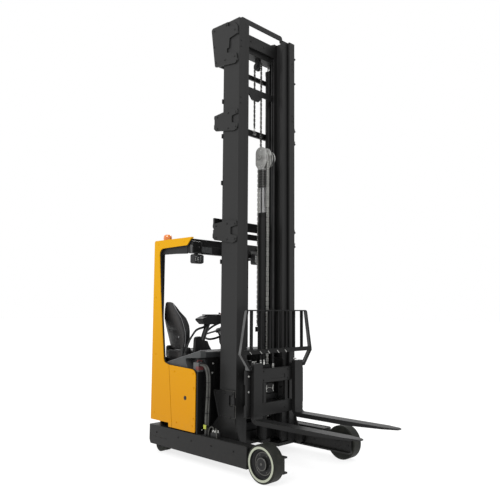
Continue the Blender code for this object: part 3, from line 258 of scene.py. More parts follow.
def paint(name, base, worn, roughness, coat):
    """Sprayed enamel: faint peel, cloudy gloss, dust that gathers near the floor, and painted shade on faces
    that look ahead and in one strip.
    """
    finish = Finish(name, {"Coat Weight": coat, "Coat Roughness": 0.18, "Specular IOR Level": 0.22})
    clouds = finish.noise(2.6, detail=4.0)
    fine = finish.noise(38.0, detail=3.0)
    low = finish.along("Z").spread(0.02, 0.55, 1.0, 0.0)
    dust = low * fine.spread(0.35, 0.75) * 0.35 + clouds.spread(0.35, 0.8) * 0.10
    # Painted shade: faces that look ahead are darker, and so is a strip 0.33 to 0.35 m from the middle, above
    # about 1 m, where the middle rails' flanges lie in the outer rails' shadow
    front = finish.toward(0, 0.6, 0.9)
    lip = finish.math("ABSOLUTE", finish.along("Y"))
    step = lip.spread(0.330, 0.345) * lip.spread(0.348, 0.3495, 1.0, 0.0)
    step = step * finish.along("Z").spread(0.95, 1.05)
    # The painted shade's colour: the base at 0.3 of its brightness
    shade_tone = darker(base, 0.3)
    finish.colour(finish.blend(front * 0.6 + step * 0.4, finish.blend(dust, base, worn), shade_tone))
    finish.feed("Roughness", clouds * 0.12 + fine * 0.08 + (roughness - 0.10) + dust * 0.2)
    orange_peel = finish.noise(420.0, detail=1.0) * 0.25
    finish.bumps(orange_peel + fine * 0.2, 0.12, 0.0008)
    return finish.material


def make_yellow():
    """Yellow enamel outside, with painted shade: darker towards the bottom, and dark on the edges and faces
    that look into the cab.
    """
    sheen = {"Coat Weight": 0.04, "Coat Roughness": 0.12, "Specular IOR Level": 0.08}
    finish = Finish("yellow_enamel", sheen)
    clouds = finish.noise(1.8, detail=3.0)
    fine = finish.noise(30.0, detail=4.0)
    # Painted shade: the yellow darkens towards the bottom, from 2.2 m down to 0.2 m
    low = finish.along("Z").spread(0.2, 2.2, 1.0, 0.0)
    shade_tone = finish.blend(clouds * 0.3, (0.52, 0.210, 0.0004, 1), (0.48, 0.185, 0.0004, 1))
    shade = finish.blend(low * 0.8, (0.60, 0.30, 0.001, 1), shade_tone)
    dust = finish.along("Z").spread(0.28, 0.5, 1.0, 0.0) * fine.spread(0.4, 0.8) * 0.25
    side = finish.math("ABSOLUTE", finish.along("Y"))
    # Painted shade: the edges and faces set in from the outer sides, ahead of the cab's rear and below the
    # roof top, are painted dark
    painted_shade_and_louvres = side.spread(0.6005, 0.6025, 1.0, 0.0) * finish.along("X").spread(axle_x - 1.600, axle_x - 1.597)
    painted_shade_and_louvres = painted_shade_and_louvres * finish.along("Z").spread(2.186, 2.190, 1.0, 0.0)
    # Louvres of the rear cover, as dark stripes
    louvres = finish.math("SINE", finish.along("Z") * (math.tau / 0.028)).spread(0.1, 0.3)
    louvres = louvres * side.spread(0.255, 0.26, 1.0, 0.0) * finish.toward(0, -0.8, -0.95)
    louvres = louvres * finish.along("Z").spread(0.615, 0.617)
    louvres = louvres * finish.along("Z").spread(0.841, 0.843, 1.0, 0.0)
    # The painted shade and the louvres share one dark colour
    painted_shade_and_louvres = finish.math("MAXIMUM", painted_shade_and_louvres, louvres)
    # Dust over the painted shade
    worn = finish.blend(dust, shade, (0.40, 0.20, 0.03, 1))
    finish.colour(finish.blend(painted_shade_and_louvres, worn, finish.blend(fine * 0.5, grey(0.012), grey(0.03))))
    finish.feed("Roughness", clouds * 0.1 + fine * 0.06 + 0.26 + dust * 0.3)
    finish.bumps(finish.noise(380.0, detail=1.0), 0.10, 0.0008)
    return finish.material


def moulded(name, base, pale, roughness, grain=900.0):
    """Moulded plastic with a fine leather-like grain."""
    finish = Finish(name, {"Specular IOR Level": 0.28})
    pores = finish.cells(grain)
    clouds = finish.noise(9.0, detail=4.0)
    finish.colour(finish.blend(clouds.spread(0.3, 0.8) * 0.5, base, pale))
    finish.feed("Roughness", clouds * 0.15 + (roughness - 0.07))
    finish.bumps(pores, 0.35, 0.0006)
    return finish.material


def metal(name, base, roughness, run=(1, 1, 1)):
    """Bare or plated steel with fine scratches that run along the piece."""
    finish = Finish(name, {"Metallic": 1.0})
    lines = finish.noise(60.0, detail=5.0, roughness=0.7, place=finish.stretched(*run))
    oil = finish.noise(12.0, detail=3.0)
    dark = darker(base, 0.55)
    finish.colour(finish.blend(oil.spread(0.45, 0.75) * 0.6, base, dark))
    finish.feed("Roughness", lines * 0.18 + oil * 0.12 + (roughness - 0.15))
    finish.bumps(lines, 0.1, 0.0005)
    return finish.material


def rubber(name, base, pale, grain=220.0):
    """Rubber with a cloudy, dusty surface."""
    finish = Finish(name, {"Specular IOR Level": 0.2})
    clouds = finish.noise(14.0, detail=5.0)
    fine = finish.noise(grain, detail=2.0)
    finish.colour(finish.blend(clouds.spread(0.4, 0.8) * 0.7, base, pale))
    finish.feed("Roughness", clouds * 0.2 + 0.55)
    finish.bumps(fine * 0.6 + clouds * 0.4, 0.2, 0.0015)
    return finish.material


def make_rest_paint():
    """Dark enamel, rubbed paler on the outer faces of the load backrest's sides."""
    finish = Finish("backrest_enamel", {"Specular IOR Level": 0.10})
    side = finish.math("ABSOLUTE", finish.along("Y")).spread(0.385, 0.395)
    outward = finish.toward(1, 0.5, 0.8) + finish.toward(1, -0.5, -0.8)
    clouds = finish.noise(7.0, detail=4.0)
    worn = finish.blend(clouds.spread(0.3, 0.7), grey(0.13), grey(0.08))
    finish.colour(finish.blend(side * outward, finish.blend(clouds * 0.5, grey(0.006), grey(0.012)), worn))
    finish.feed("Roughness", clouds * 0.15 + 0.38)
    finish.bumps(finish.noise(420.0, detail=1.0), 0.04, 0.0008)
    return finish.material


def make_wheel_look():
    """One finish for both load wheels: dark tread, pale flat ring and a dark hub with a cap."""
    finish = Finish("load_wheel_bands", {"Specular IOR Level": 0.2})
    x = finish.along("X") - axle_x
    z = finish.along("Z") - axle_z
    radius = (x * x + z * z) ** 0.5
    side = finish.math("ABSOLUTE", finish.along("Y"))
    ring = radius.spread(0.1265, 0.1285) * radius.spread(0.1460, 0.1480, 1.0, 0.0) * side.spread(0.638, 0.641)
    hub = radius.spread(0.124, 0.1275, 1.0, 0.0) * side.spread(0.57, 0.60)
    clouds = finish.noise(24.0, detail=5.0)
    dirt = finish.noise(95.0, detail=3.0)
    tread = finish.blend(clouds.spread(0.4, 0.8), (0.007, 0.008, 0.006, 1), (0.020, 0.020, 0.015, 1))
    pale = finish.blend(dirt.spread(0.45, 0.8) * 0.5, (0.36, 0.38, 0.30, 1), (0.20, 0.20, 0.15, 1))
    metal_tone = finish.blend(clouds, (0.009, 0.009, 0.0095, 1), grey(0.02))
    finish.colour(finish.blend(ring, finish.blend(hub, tread, metal_tone), pale))
    finish.feed("Roughness", clouds * 0.2 + 0.5 - hub * 0.15)
    finish.bumps(dirt * 0.6 + finish.noise(300.0, detail=1.0) * 0.4, 0.2, 0.0012)
    return finish.material


def make_head_look():
    """The free-lift rod is bright, the crosshead's foot dark and its cheeks pale cast metal."""
    finish = Finish("crosshead_metal", {})
    height = finish.along("Z")
    cast = height.spread(2.735, 2.745)
    shade = cast * height.spread(2.925, 2.935, 1.0, 0.0)
    pores = finish.noise(240.0, detail=3.0)
    clouds = finish.noise(18.0, detail=4.0)
    bright = finish.blend(clouds * 0.4, grey(0.30), grey(0.20))
    casting = finish.blend(clouds.spread(0.35, 0.75), (0.36, 0.36, 0.35, 1), (0.20, 0.20, 0.19, 1))
    finish.colour(finish.blend(shade, finish.blend(cast, bright, casting), (0.022, 0.022, 0.021, 1)))
    finish.feed("Metallic", 1.0 - cast * 0.8 - shade * 0.2)
    finish.feed("Roughness", cast * 0.22 + clouds * 0.1 + 0.18)
    finish.bumps(pores * cast, 0.35, 0.0012)
    return finish.material


def make_glass(name, base, glow):
    """A lamp's lens, ribbed by fine vertical lines."""
    finish = Finish(name, {"Coat Weight": 1.0, "Coat Roughness": 0.03, "Emission Strength": glow})
    ribs = finish.math("SINE", finish.along("Y") * 900.0) * 0.5 + 0.5
    clouds = finish.noise(40.0, detail=2.0)
    finish.colour(finish.blend(clouds * 0.5, base, darker(base, 0.6)))
    finish.feed("Emission Color", finish.blend(ribs * 0.5, base, darker(base, 0.5)))
    finish.feed("Roughness", clouds * 0.1 + 0.08)
    finish.bumps(ribs, 0.5, 0.001)
    return finish.material


looks = {}


def make_looks():
    """One finish for every kind of surface."""
    looks.update({
        "yellow_paint": make_yellow(),
        "black_paint": paint("black_enamel", grey(0.007), (0.024, 0.023, 0.021, 1), 0.45, 0.04),
        "mast_paint": paint("mast_enamel", grey(0.016), (0.028, 0.028, 0.027, 1), 0.45, 0.04),
        "deep_paint": paint("deep_enamel", grey(0.004), (0.014, 0.014, 0.013, 1), 0.5, 0.0),
        "grey_plastic": moulded("grey_moulding", (0.045, 0.047, 0.048, 1), (0.075, 0.078, 0.078, 1), 0.5),
        "dark_plastic": moulded("dark_moulding", (0.009, 0.009, 0.0095, 1), (0.018, 0.018, 0.019, 1), 0.42),
        "hood_plastic": moulded("hood_moulding", (0.016, 0.017, 0.018, 1), (0.034, 0.035, 0.036, 1), 0.42),
        "bracket_plastic": moulded("bracket_moulding", grey(0.085), grey(0.12), 0.45),
        "seat_vinyl": moulded("seat_hide", (0.008, 0.008, 0.0085, 1), (0.015, 0.015, 0.0155, 1), 0.42, 420.0),
        "seat_shell": moulded("seat_moulding", (0.012, 0.0115, 0.012, 1), grey(0.020), 0.42),
        "piping": moulded("seat_piping", (0.16, 0.16, 0.165, 1), (0.22, 0.22, 0.225, 1), 0.5, 1400.0),
        "steel": metal("ground_steel", (0.58, 0.58, 0.57, 1), 0.28, (1, 1, 0.08)),
        "bolt_steel": metal("plated_steel", (0.52, 0.52, 0.50, 1), 0.32),
        "chain_steel": metal("oiled_steel", (0.62, 0.62, 0.60, 1), 0.34),
        "chain_core": metal("greased_steel", (0.11, 0.108, 0.102, 1), 0.40),
        "chain_pale": metal("worn_chain_steel", (0.42, 0.42, 0.40, 1), 0.36),
        "head": make_head_look(),
        "wheel": make_wheel_look(),
        "tyre": rubber("tread_rubber", (0.010, 0.011, 0.009, 1), (0.028, 0.029, 0.023, 1)),
        "hose": rubber("hose_rubber", grey(0.014), grey(0.035), 500.0),
        "pale_hose": rubber("sleeved_hose", (0.05, 0.05, 0.046, 1), (0.12, 0.12, 0.11, 1), 700.0),
        "red_plastic": moulded("red_moulding", (0.17, 0.05, 0.05, 1), (0.12, 0.05, 0.05, 1), 0.4),
        "lime_plastic": moulded("lime_moulding", (0.36, 0.40, 0.05, 1), (0.30, 0.33, 0.06, 1), 0.4),
        "rest_paint": make_rest_paint(),
        "lamp": moulded("lamp_housing", (0.014, 0.014, 0.015, 1), grey(0.026), 0.42),
        "lens": make_glass("lamp_glass", (0.030, 0.032, 0.034, 1), 0.02),
        "screen": make_glass("display_glass", (0.012, 0.02, 0.024, 1), 0.02),
        "beacon": make_glass("amber_lens", (0.75, 0.19, 0.004, 1), 0.10),
    })


plain_nodes = {
    "yellow_paint": ("guard_side", "side_cover", "rear_cover"),
    "wheel": ("load_wheel",),
    "tyre": ("drive_wheel", "caster_wheels"),
    "seat_vinyl": ("seat_cushion", "seat_back"),
    "hood_plastic": ("battery_hood",),
    "dark_plastic": ("seat_pedestal", "armrest", "steering", "pedals"),
    "grey_plastic": ("side_cowl",),
    "hose": ("control_cable",),
    "pale_hose": ("battery_cables",),
    "lamp": ("work_lamp",),
    "beacon": ("beacon",),
    "steel": ("lift_rod", "reach_rod"),
    "head": ("free_lift_head",),
    "rest_paint": ("backrest", "load_backrest"),
    "chain_core": ("lift_chain", "anchor_chain"),
    "deep_paint": ("battery_bulkhead", "battery", "cab_floor", "lift_cylinder", "free_lift_cylinder"),
    "mast_paint": ("outer_rail", "middle_", "inner_", "mast_tie"),
}


def look_of(node):
    """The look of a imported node, by how its name starts."""
    for look, starts in plain_nodes.items():
        if node.startswith(starts):
            return look
    return "black_paint"


def dress_solids():
    """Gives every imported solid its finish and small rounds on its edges."""
    for name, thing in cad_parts.items():
        thing.data.materials.clear()
        thing.data.materials.append(looks[look_of(name)])
        thing.data.shade_smooth()
        thing.data.set_sharp_from_angle(angle=math.radians(32))
        soften(thing, 0.0018, 2, 40).harden_normals = True


# Small pieces


def facing(axis):
    """The turn that takes +Z to a direction."""
    return Vector(axis).to_track_quat("Z", "Y").to_matrix().to_4x4()


class Build:
    """Gathers the closed shells of one piece; done() makes the piece and lets it ride."""

    def __init__(self):
        self.shape = bmesh.new()

    def loop(self, points):
        return [self.shape.verts.new(point) for point in points]

    def skin(self, rings, closed=False):
        """Faces between neighbouring rings of points; a ring of one point is a tip."""
        pairs = list(zip(rings, rings[1:] + rings[:1])) if closed else list(zip(rings, rings[1:]))
        for first, second in pairs:
            if len(first) == 1 and len(second) == 1:
                continue
            count = max(len(first), len(second))
            for i in range(count):
                j = (i + 1) % count
                if len(first) == 1:
                    self.shape.faces.new((first[0], second[j], second[i]))
                elif len(second) == 1:
                    self.shape.faces.new((first[i], first[j], second[0]))
                else:
                    self.shape.faces.new((first[i], first[j], second[j], second[i]))

    def prism(self, low, high):
        """A closed solid between two matching loops of points."""
        first, second = self.loop(low), self.loop(high)
        self.skin([first, second])
        self.shape.faces.new(list(reversed(first)))
        self.shape.faces.new(second)

    def block(self, low, high, turn=None):
        """A block, or one turned about its own middle."""
        low, high = Vector(low), Vector(high)
        middle = (low + high) / 2
        half = (high - low) / 2
        corners = [(-1, -1), (1, -1), (1, 1), (-1, 1)]
        ends = []
        for z in (-1, 1):
            ends.append([Vector((x * half.x, y * half.y, z * half.z)) for x, y in corners])
        if turn is not None:
            ends = [[turn @ point for point in end] for end in ends]
        self.prism([middle + p for p in ends[0]], [middle + p for p in ends[1]])

    def plate(self, axis, start, end, outline):
        """An outline of (x, z) across y, (y, z) across x or (x, y) across z, made solid."""
        spot = {
            "x": lambda u, v, w: Vector((w, u, v)),
            "y": lambda u, v, w: Vector((u, w, v)),
            "z": lambda u, v, w: Vector((u, v, w)),
        }[axis]
        self.prism([spot(u, v, start) for u, v in outline], [spot(u, v, end) for u, v in outline])

    def lathe(self, place, axis, profile, steps=24, closed=False, start=0.0):
        """Turns rows of (radius, height) round an axis through a place; flat ends are filled."""
        if not closed and profile[0][0]:
            profile = [(0, profile[0][1]), *profile]
        if not closed and profile[-1][0]:
            profile = [*profile, (0, profile[-1][1])]
        turn = Matrix.Translation(place) @ facing(axis)
        rings = []
        for radius, height in profile:
            count = steps if radius > 1e-6 else 1
            ring = []
            for i in range(count):
                angle = start + math.tau * i / count
                ring.append(turn @ Vector((radius * math.cos(angle), radius * math.sin(angle), height)))
            rings.append(self.loop(ring))
        self.skin(rings, closed)

    def ring(self, place, axis, profile, steps=24):
        """A closed outline of (radius, height) turned round an axis, open in the middle."""
        self.lathe(place, axis, profile, steps, closed=True)

    def bolt(self, place, axis, size=0.008):
        """A washer with a chamfered hexagon head on it."""
        self.lathe(place, axis, [(0, size * 0.25), (size * 1.25, size * 0.22), (size * 1.3, 0), (0, 0)], 16)
        head = [(0, size * 0.85), (size * 0.82, size * 0.85), (size, size * 0.7), (size, 0.0), (0, 0.0)]
        self.lathe(place, axis, head, 6, start=0.3)

    def screw(self, place, axis, size=0.006):
        """A low round head with a socket in it."""
        self.lathe(place, axis, [
            (0, size * 0.2), (size * 0.45, size * 0.2), (size * 0.5, size * 0.6), (size * 0.8, size * 0.6),
            (size, size * 0.35), (size, 0), (0, 0),
        ], 14)

    def tube(self, points, radius, sides=10):
        """A round hose or bar along points."""
        points = [Vector(point) for point in points]
        last = len(points) - 1
        rings = []
        across = None
        for i, point in enumerate(points):
            before = points[max(i - 1, 0)]
            after = points[min(i + 1, last)]
            along = (after - before).normalized()
            if across is None:
                across = along.orthogonal().normalized()
            across = (across - along * across.dot(along)).normalized()
            over = along.cross(across)
            ring = []
            for k in range(sides):
                angle = math.tau * k / sides
                ring.append(point + (across * math.cos(angle) + over * math.sin(angle)) * radius)
            rings.append(self.loop(ring))
        self.skin(rings)
        self.shape.faces.new(list(reversed(rings[0])))
        self.shape.faces.new(rings[-1])

    def done(self, name, look, body=None, round_edges=0.0007):
        bmesh.ops.recalc_face_normals(self.shape, faces=self.shape.faces)
        mesh = bpy.data.meshes.new(name)
        self.shape.to_mesh(mesh)
        self.shape.free()
        mesh.materials.append(looks[look])
        mesh.shade_smooth()
        mesh.set_sharp_from_angle(angle=math.radians(35))
        thing = put(name, mesh)
        if round_edges:
            soften(thing, round_edges, 1, 45)
        if body:
            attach(thing, body)
        return thing


def curve_through(route, steps=6):
    """Points along a smooth line through a route."""
    points = [Vector(place) for place in route]
    ends = [points[0] * 2 - points[1], *points, points[-1] * 2 - points[-2]]
    found = []
    for a, b, c, d in zip(ends, ends[1:], ends[2:], ends[3:]):
        for k in range(steps):
            t = k / steps
            found.append(b + 0.5 * ((c - a) * t + (2 * a - 5 * b + 4 * c - d) * t ** 2
                                    + (3 * b - a - 3 * c + d) * t ** 3))
    return [*found, points[-1]]


def around(x, y, z, radius, angle):
    """A place on an upright circle that faces the truck's side."""
    return at(x + radius * math.cos(angle), y, z + radius * math.sin(angle))


def upright(x, y, low, high):
    """A straight run up, in 40 short steps."""
    return [at(x, y, low + (high - low) * i / 40) for i in range(41)]


def rounded(half_x, half_y, power, count):
    """The outline of a block with round corners: a higher power makes it squarer."""
    outline = []
    for k in range(count):
        angle = math.tau * k / count
        size = (abs(math.cos(angle)) ** power + abs(math.sin(angle)) ** power) ** (-1 / power)
        outline.append((half_x * size * math.cos(angle), half_y * size * math.sin(angle)))
    return outline


def slope(left, right, near, far):
    """Four corners of a face that slopes from one (y, z) line to another."""
    return [at(left, *near), at(right, *near), at(right, *far), at(left, *far)]


to_front = (1, 0, 0)
to_top = (0, 0, 1)
sides = (-1, 1)
both = ((-1, "right"), (1, "left"))

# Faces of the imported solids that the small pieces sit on
mast_face = -0.52  # front of the outer rails
tie_face = 0.4463  # outside of the tie plates
sheet_face = 0.4473  # outside of the reach carriage's sheets
lift_x, lift_y = -0.80, 0.32  # main lift cylinders
plate_face = -0.5  # front of the lift carriage
wheel_face = 0.6425
leg_face, leg_inside, leg_top, leg_end = 0.62, 0.49, 0.275, -0.19
cover_face = 0.61
bulkhead_face = -0.87
roof_top = 2.19
half_plate = 0.0018  # half a chain plate's thickness


# Chains and hoses of the mast

link_pitch = 0.0254
head_x, head_z = -0.585, 3.06  # the crosshead's sheave
pitch_radius = 0.064
pin_radius = 0.0056


def link_outline(depth, waist):
    """A leaf-chain plate seen from its side: two round ends and a waist."""
    half = link_pitch / 2
    full = depth / 2
    rows = []
    for end in (1, -1):
        for angle in (-75, -25, 25, 75):
            turn = math.radians(angle)
            rows.append((end * (half + full * 0.85 * math.cos(turn)), end * full * math.sin(turn)))
        rows.append((0.0, end * waist / 2))
    return rows


def chain_links(plates, pins, path, count, width, y, depth):
    """Leaf chain along a path: path(i) is the place of one joint."""
    outline = link_outline(depth, depth * 0.6)
    for i in range(count):
        start, end = path(i), path(i + 1)
        along = (end - start).normalized()
        out = Vector((along.z, 0.0, -along.x))
        middle = (start + end) / 2
        for share in (-0.5, 0.0, 0.5) if i % 2 else (-0.25, 0.25):
            across = y + share * (width - 0.004)
            faces = []
            for edge in (-half_plate, half_plate):
                faces.append([
                    middle + along * u + out * v + Vector((0, across + edge, 0)) for u, v in outline
                ])
            plates.prism(*faces)
        pin_end = width / 2 + 0.002
        pins.lathe(start + Vector((0, y, 0)), (0, 1, 0), [(pin_radius, pin_end), (pin_radius, -pin_end)], 8)


def straight(x, low):
    """A path straight up from a height."""
    return lambda i: at(x, 0, low + link_pitch * i)


def chain_pair(name, count, path, width=0.031, depth=0.017):
    """A chain's plates and its brighter pins, as two pieces that move together."""
    plates, pins = Build(), Build()
    chain_links(plates, pins, path, count, width, 0.0, depth)
    return (plates.done(f"{name}_plates", "chain_pale", round_edges=0),
            pins.done(f"{name}_pins", "chain_steel", round_edges=0))


def make_lift_chain():
    """The lifting chain over the crosshead's sheave, and its anchored strand."""
    front_x = head_x + pitch_radius
    rear_x = head_x - pitch_radius
    low = 0.931
    count = int((head_z - low) / link_pitch)
    front = chain_pair("lift_chain_front", count + 1, straight(front_x, low + 0.006))
    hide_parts("lift_chain")
    for thing in front:
        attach(thing, "lift_carriage")
        at(front_x, 0, low)
        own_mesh(thing)
    top = chain_pair("lift_chain_top", 20, straight(front_x, head_z - 20 * link_pitch), 0.030, 0.0165)
    wrap = chain_pair("lift_chain_wrap", 8,
                      lambda i: around(head_x, 0, head_z, pitch_radius, math.pi / 8 * i))
    for thing in (*top, *wrap):
        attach(thing, "free_lift_head")
    rear_low = 1.303
    rear = chain_pair("anchor_chain_run", int((head_z - rear_low) / link_pitch),
                      straight(rear_x, rear_low + 0.012))
    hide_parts("anchor_chain")
    for thing in rear:
        at(rear_x, 0, rear_low)
        at(rear_x, 0, head_z)
        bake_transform(thing)


def make_mast_hoses():
    """A pair of hoses over the hose sheave, down to the carriage and to the inner stage."""
    wrap, front, rear, ends = Build(), Build(), Build(), Build()
    radius = 0.077
    low, rear_low = 0.93, 1.30
    for y in (0.0685, 0.0815):
        arc = [around(head_x, y, head_z, radius, math.pi * i / 14) for i in range(15)]
        wrap.tube([at(head_x + radius, y, head_z - 0.5), *arc, at(head_x - radius, y, head_z - 0.01)], 0.0062)
        front.tube(upright(head_x + radius, y, low, head_z), 0.0063)
        rear.tube(upright(head_x - radius, y, rear_low, head_z), 0.0063)
        ends.lathe(at(head_x + radius, y, 0.88), to_top, [
            (0.0072, 0.056), (0.0072, 0.03), (0.0095, 0.028), (0.0095, 0.0)], 12)
    wrap.done("mast_hose_wrap", "hose", "free_lift_head", 0)
    ends.done("mast_hose_ends", "bolt_steel", "lift_carriage")
    strand = front.done("mast_hose_front", "hose", "lift_carriage", 0)
    at(head_x + radius, 0, low)
    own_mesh(strand)
    back = rear.done("mast_hose_rear", "hose", None, 0)
    at(0, 0, rear_low)
    at(0, 0, head_z)
    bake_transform(back)
    clamp = Build()
    clamp.block(at(-0.674, 0.058, 1.255), at(-0.648, 0.092, 1.315))
    clamp.block(at(-0.652, 0.04, 1.27), at(-0.61, 0.062, 1.30))
    clamp.bolt(at(-0.674, 0.075, 1.285), (-1, 0, 0), 0.006)
    clamp.done("mast_hose_clamp", "black_paint", "inner_mast")


def make_stage_chains():
    """The two chains that pull the inner stage up, over the pulleys under the middle beam."""
    pulley_x, pulley_z, out = -0.775, 4.15, 0.050
    front_low, back_low = 0.262, 3.462  # lower ends of the two runs
    wraps, fronts, backs = [Build(), Build()], [Build(), Build()], [Build(), Build()]
    bits, anchors = Build(), Build()
    for side in sides:
        y = side * 0.11
        chain_links(*wraps, lambda i: around(pulley_x, 0, pulley_z, out, math.pi * i / 6),
                    6, 0.022, y, 0.013)
        for pair, x, low in ((fronts, pulley_x + out, front_low), (backs, pulley_x - out, back_low)):
            count = int((pulley_z - low) / link_pitch) + 1
            chain_links(*pair, straight(x, low), count, 0.022, y, 0.013)
        bits.block(at(-0.734, y - 0.018, 0.168), at(-0.684, y + 0.018, 0.232))
        bits.lathe(at(pulley_x + out, y, 0.225), to_top, [(0.006, 0.05), (0.006, 0)], 10)
        bits.bolt(at(pulley_x + out, y, 0.168), (0, 0, -1), 0.008)
        anchors.block(at(-0.8448, y - 0.02, 3.385), at(-0.812, y + 0.02, 3.425))
        anchors.lathe(at(pulley_x - out, y, 3.425), to_top, [
            (0.007, 0.035), (0.007, 0.012), (0.013, 0.012), (0.013, 0)], 6)
    for name, pair, ride in (("wrap", wraps, "middle_mast"), ("front", fronts, None), ("back", backs, None)):
        things = (pair[0].done(f"stage_chain_{name}_plates", "chain_core", ride, 0),
                  pair[1].done(f"stage_chain_{name}_pins", "chain_steel", ride, 0))
        for thing in things:
            if name == "front":
                at(0, 0, front_low)
                at(0, 0, pulley_z)
                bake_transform(thing)
            if name == "back":
                at(0, 0, back_low)
                at(0, 0, pulley_z)
                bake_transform(thing)
    bits.done("stage_chain_brackets", "black_paint", "inner_mast")
    anchors.done("stage_chain_anchors", "bolt_steel", "reach_frame")


def make_mast_bits():
    """Bolts and hose clamps of the outer rails and their ties."""
    bolts = Build()
    tie_bolts = [(-0.575, 4.31), (-0.575, 4.03), (-0.70, 4.395), (-0.885, 4.395), (-0.855, 4.04),
                 (-0.715, 4.03), (-0.885, 4.22)]
    tie_bolts += [(-0.529, z) for z in (4.263, 3.979, 3.433, 3.29, 2.306, 2.153)]
    for level in (3.37, 2.24):
        for x, z in ((-0.03, 0.075), (-0.03, -0.075), (-0.14, 0.085), (-0.14, -0.075), (-0.30, 0.075),
                     (-0.30, -0.045)):
            tie_bolts.append((mast_face + x, level + z))
    for side in sides:
        for x, z in tie_bolts:
            bolts.bolt(at(x, side * tie_face, z), (0, side, 0), 0.009)
        for z in (4.194, 4.131, 3.60, 3.54, 0.80, 0.86):
            bolts.bolt(at(mast_face, side * 0.40, z), to_front, 0.007)
    bolts.done("mast_bolts", "mast_paint", "reach_frame")
    clamps = Build()
    for side in sides:
        for z in (3.235, 3.60, 2.75, 1.95):
            clamps.block(at(-0.760, side * 0.428 - 0.012, z - 0.022),
                         at(-0.7449, side * 0.428 + 0.012, z + 0.022))
            clamps.bolt(at(-0.760, side * 0.428, z), (-1, 0, 0), 0.006)
    clamps.block(at(-0.812, -0.36, 0.094), at(-0.797, 0.36, 0.1305))
    clamps.done("mast_clamps", "deep_paint", "reach_frame", 0.001)


def make_reach_frame_bits():
    """Bolts, welds and painted highlights on the edges of the reach frame's sheets, and the lift cylinders'
    glands.
    """
    sheet = Build()
    for side in sides:
        for x, z in ((-0.825, 0.155), (-0.825, 0.28), (-0.60, 0.15), (-0.455, 0.15), (-0.455, 0.19),
                     (-0.58, 0.45), (-0.71, 0.45), (-0.78, 0.655), (-0.56, 0.675), (-0.66, 0.675)):
            sheet.bolt(at(x, side * sheet_face, z), (0, side, 0), 0.009)
    sheet.done("reach_frame_bolts", "black_paint", "reach_frame")
    rims = Build()
    for side in sides:
        y = side * (sheet_face + 0.0005)
        seam = [at(x, y, z) for x, z in ((-0.845, 0.30), (-0.745, 0.43), (-0.815, 0.675))]
        rims.tube(curve_through(seam, 4), 0.0035, 8)
        for line in (((-0.523, 0.46), (-0.531, 0.69)), ((-0.855, 0.122), (-0.44, 0.122))):
            rims.tube([at(x, y, z) for x, z in line], 0.0035, 8)
    rims.done("reach_frame_welds", "black_paint", "reach_frame", 0)
    # Painted highlights: pale metal lines along the sheets' top and step edges
    worn = Build()
    for side in sides:
        y = side * (sheet_face + 0.0005)
        for line in (((-0.699, 0.703), (-0.511, 0.703), (-0.511, 0.644)),
                     ((-0.587, 0.569), (-0.511, 0.569), (-0.511, 0.455)),
                     ((-0.658, 0.453), (-0.513, 0.451))):
            worn.tube([at(x, y, z) for x, z in line], 0.0024, 8)
    worn.done("reach_frame_highlight_lines", "chain_core", "reach_frame", 0)
    glands = Build()
    for side in sides:
        glands.ring(at(lift_x, side * lift_y, 4.15), to_top, [
            (0.0275, 0.006), (0.034, 0.006), (0.041, 0.001), (0.041, -0.03), (0.0275, -0.03)])
        glands.ring(at(lift_x, side * lift_y, 0.3405), to_top, [
            (0.041, 0.05), (0.0445, 0.046), (0.0445, 0.004), (0.041, 0.0)])
    glands.done("lift_cylinder_glands", "bolt_steel", "reach_frame")


def make_stage_bits():
    """Bars, bolts and collars of the middle and inner stages."""
    middle = Build()
    middle.block(at(-0.717, -0.2625, 3.775), at(-0.7, 0.2625, 3.84))
    middle.plate("x", axle_x - 0.7165, axle_x - 0.7005, [
        (-0.11, 3.776), (0.11, 3.776), (0.05, 3.71), (-0.05, 3.71)])
    middle.done("middle_cross_bar", "mast_paint", "middle_mast", 0.0015)
    beam = Build()
    for y in (-0.29, -0.2, 0.2, 0.29):
        beam.bolt(at(-0.7173, y, 4.265), to_front, 0.0085)
    for side in sides:
        beam.bolt(at(lift_x, side * lift_y, 4.31), to_top, 0.013)
    beam.done("middle_beam_bolts", "mast_paint", "middle_mast")
    inner = Build()
    for y in (-0.21, -0.10, 0.10, 0.21):
        inner.bolt(at(-0.677, y, 4.335), to_front, 0.008)
    for side in sides:
        inner.bolt(at(-0.594, side * 0.3075, 4.452), to_front, 0.007)
        inner.bolt(at(-0.606, side * 0.3075, 4.452), (-1, 0, 0), 0.007)
    inner.done("inner_stage_bolts", "mast_paint", "inner_mast")
    barrel = Build()
    barrel.ring(at(head_x, 0, 2.47), to_top, [
        (0.033, 0.006), (0.044, 0.006), (0.0525, 0.0), (0.0525, -0.036), (0.0502, -0.040),
        (0.033, -0.040)], 28)
    for z in (0.9, 1.6, 2.2):
        barrel.ring(at(head_x, 0, z), to_top, [
            (0.0502, 0.012), (0.0522, 0.010), (0.0522, -0.010), (0.0502, -0.012)], 28)
    barrel.done("free_lift_collars", "deep_paint", "inner_mast")


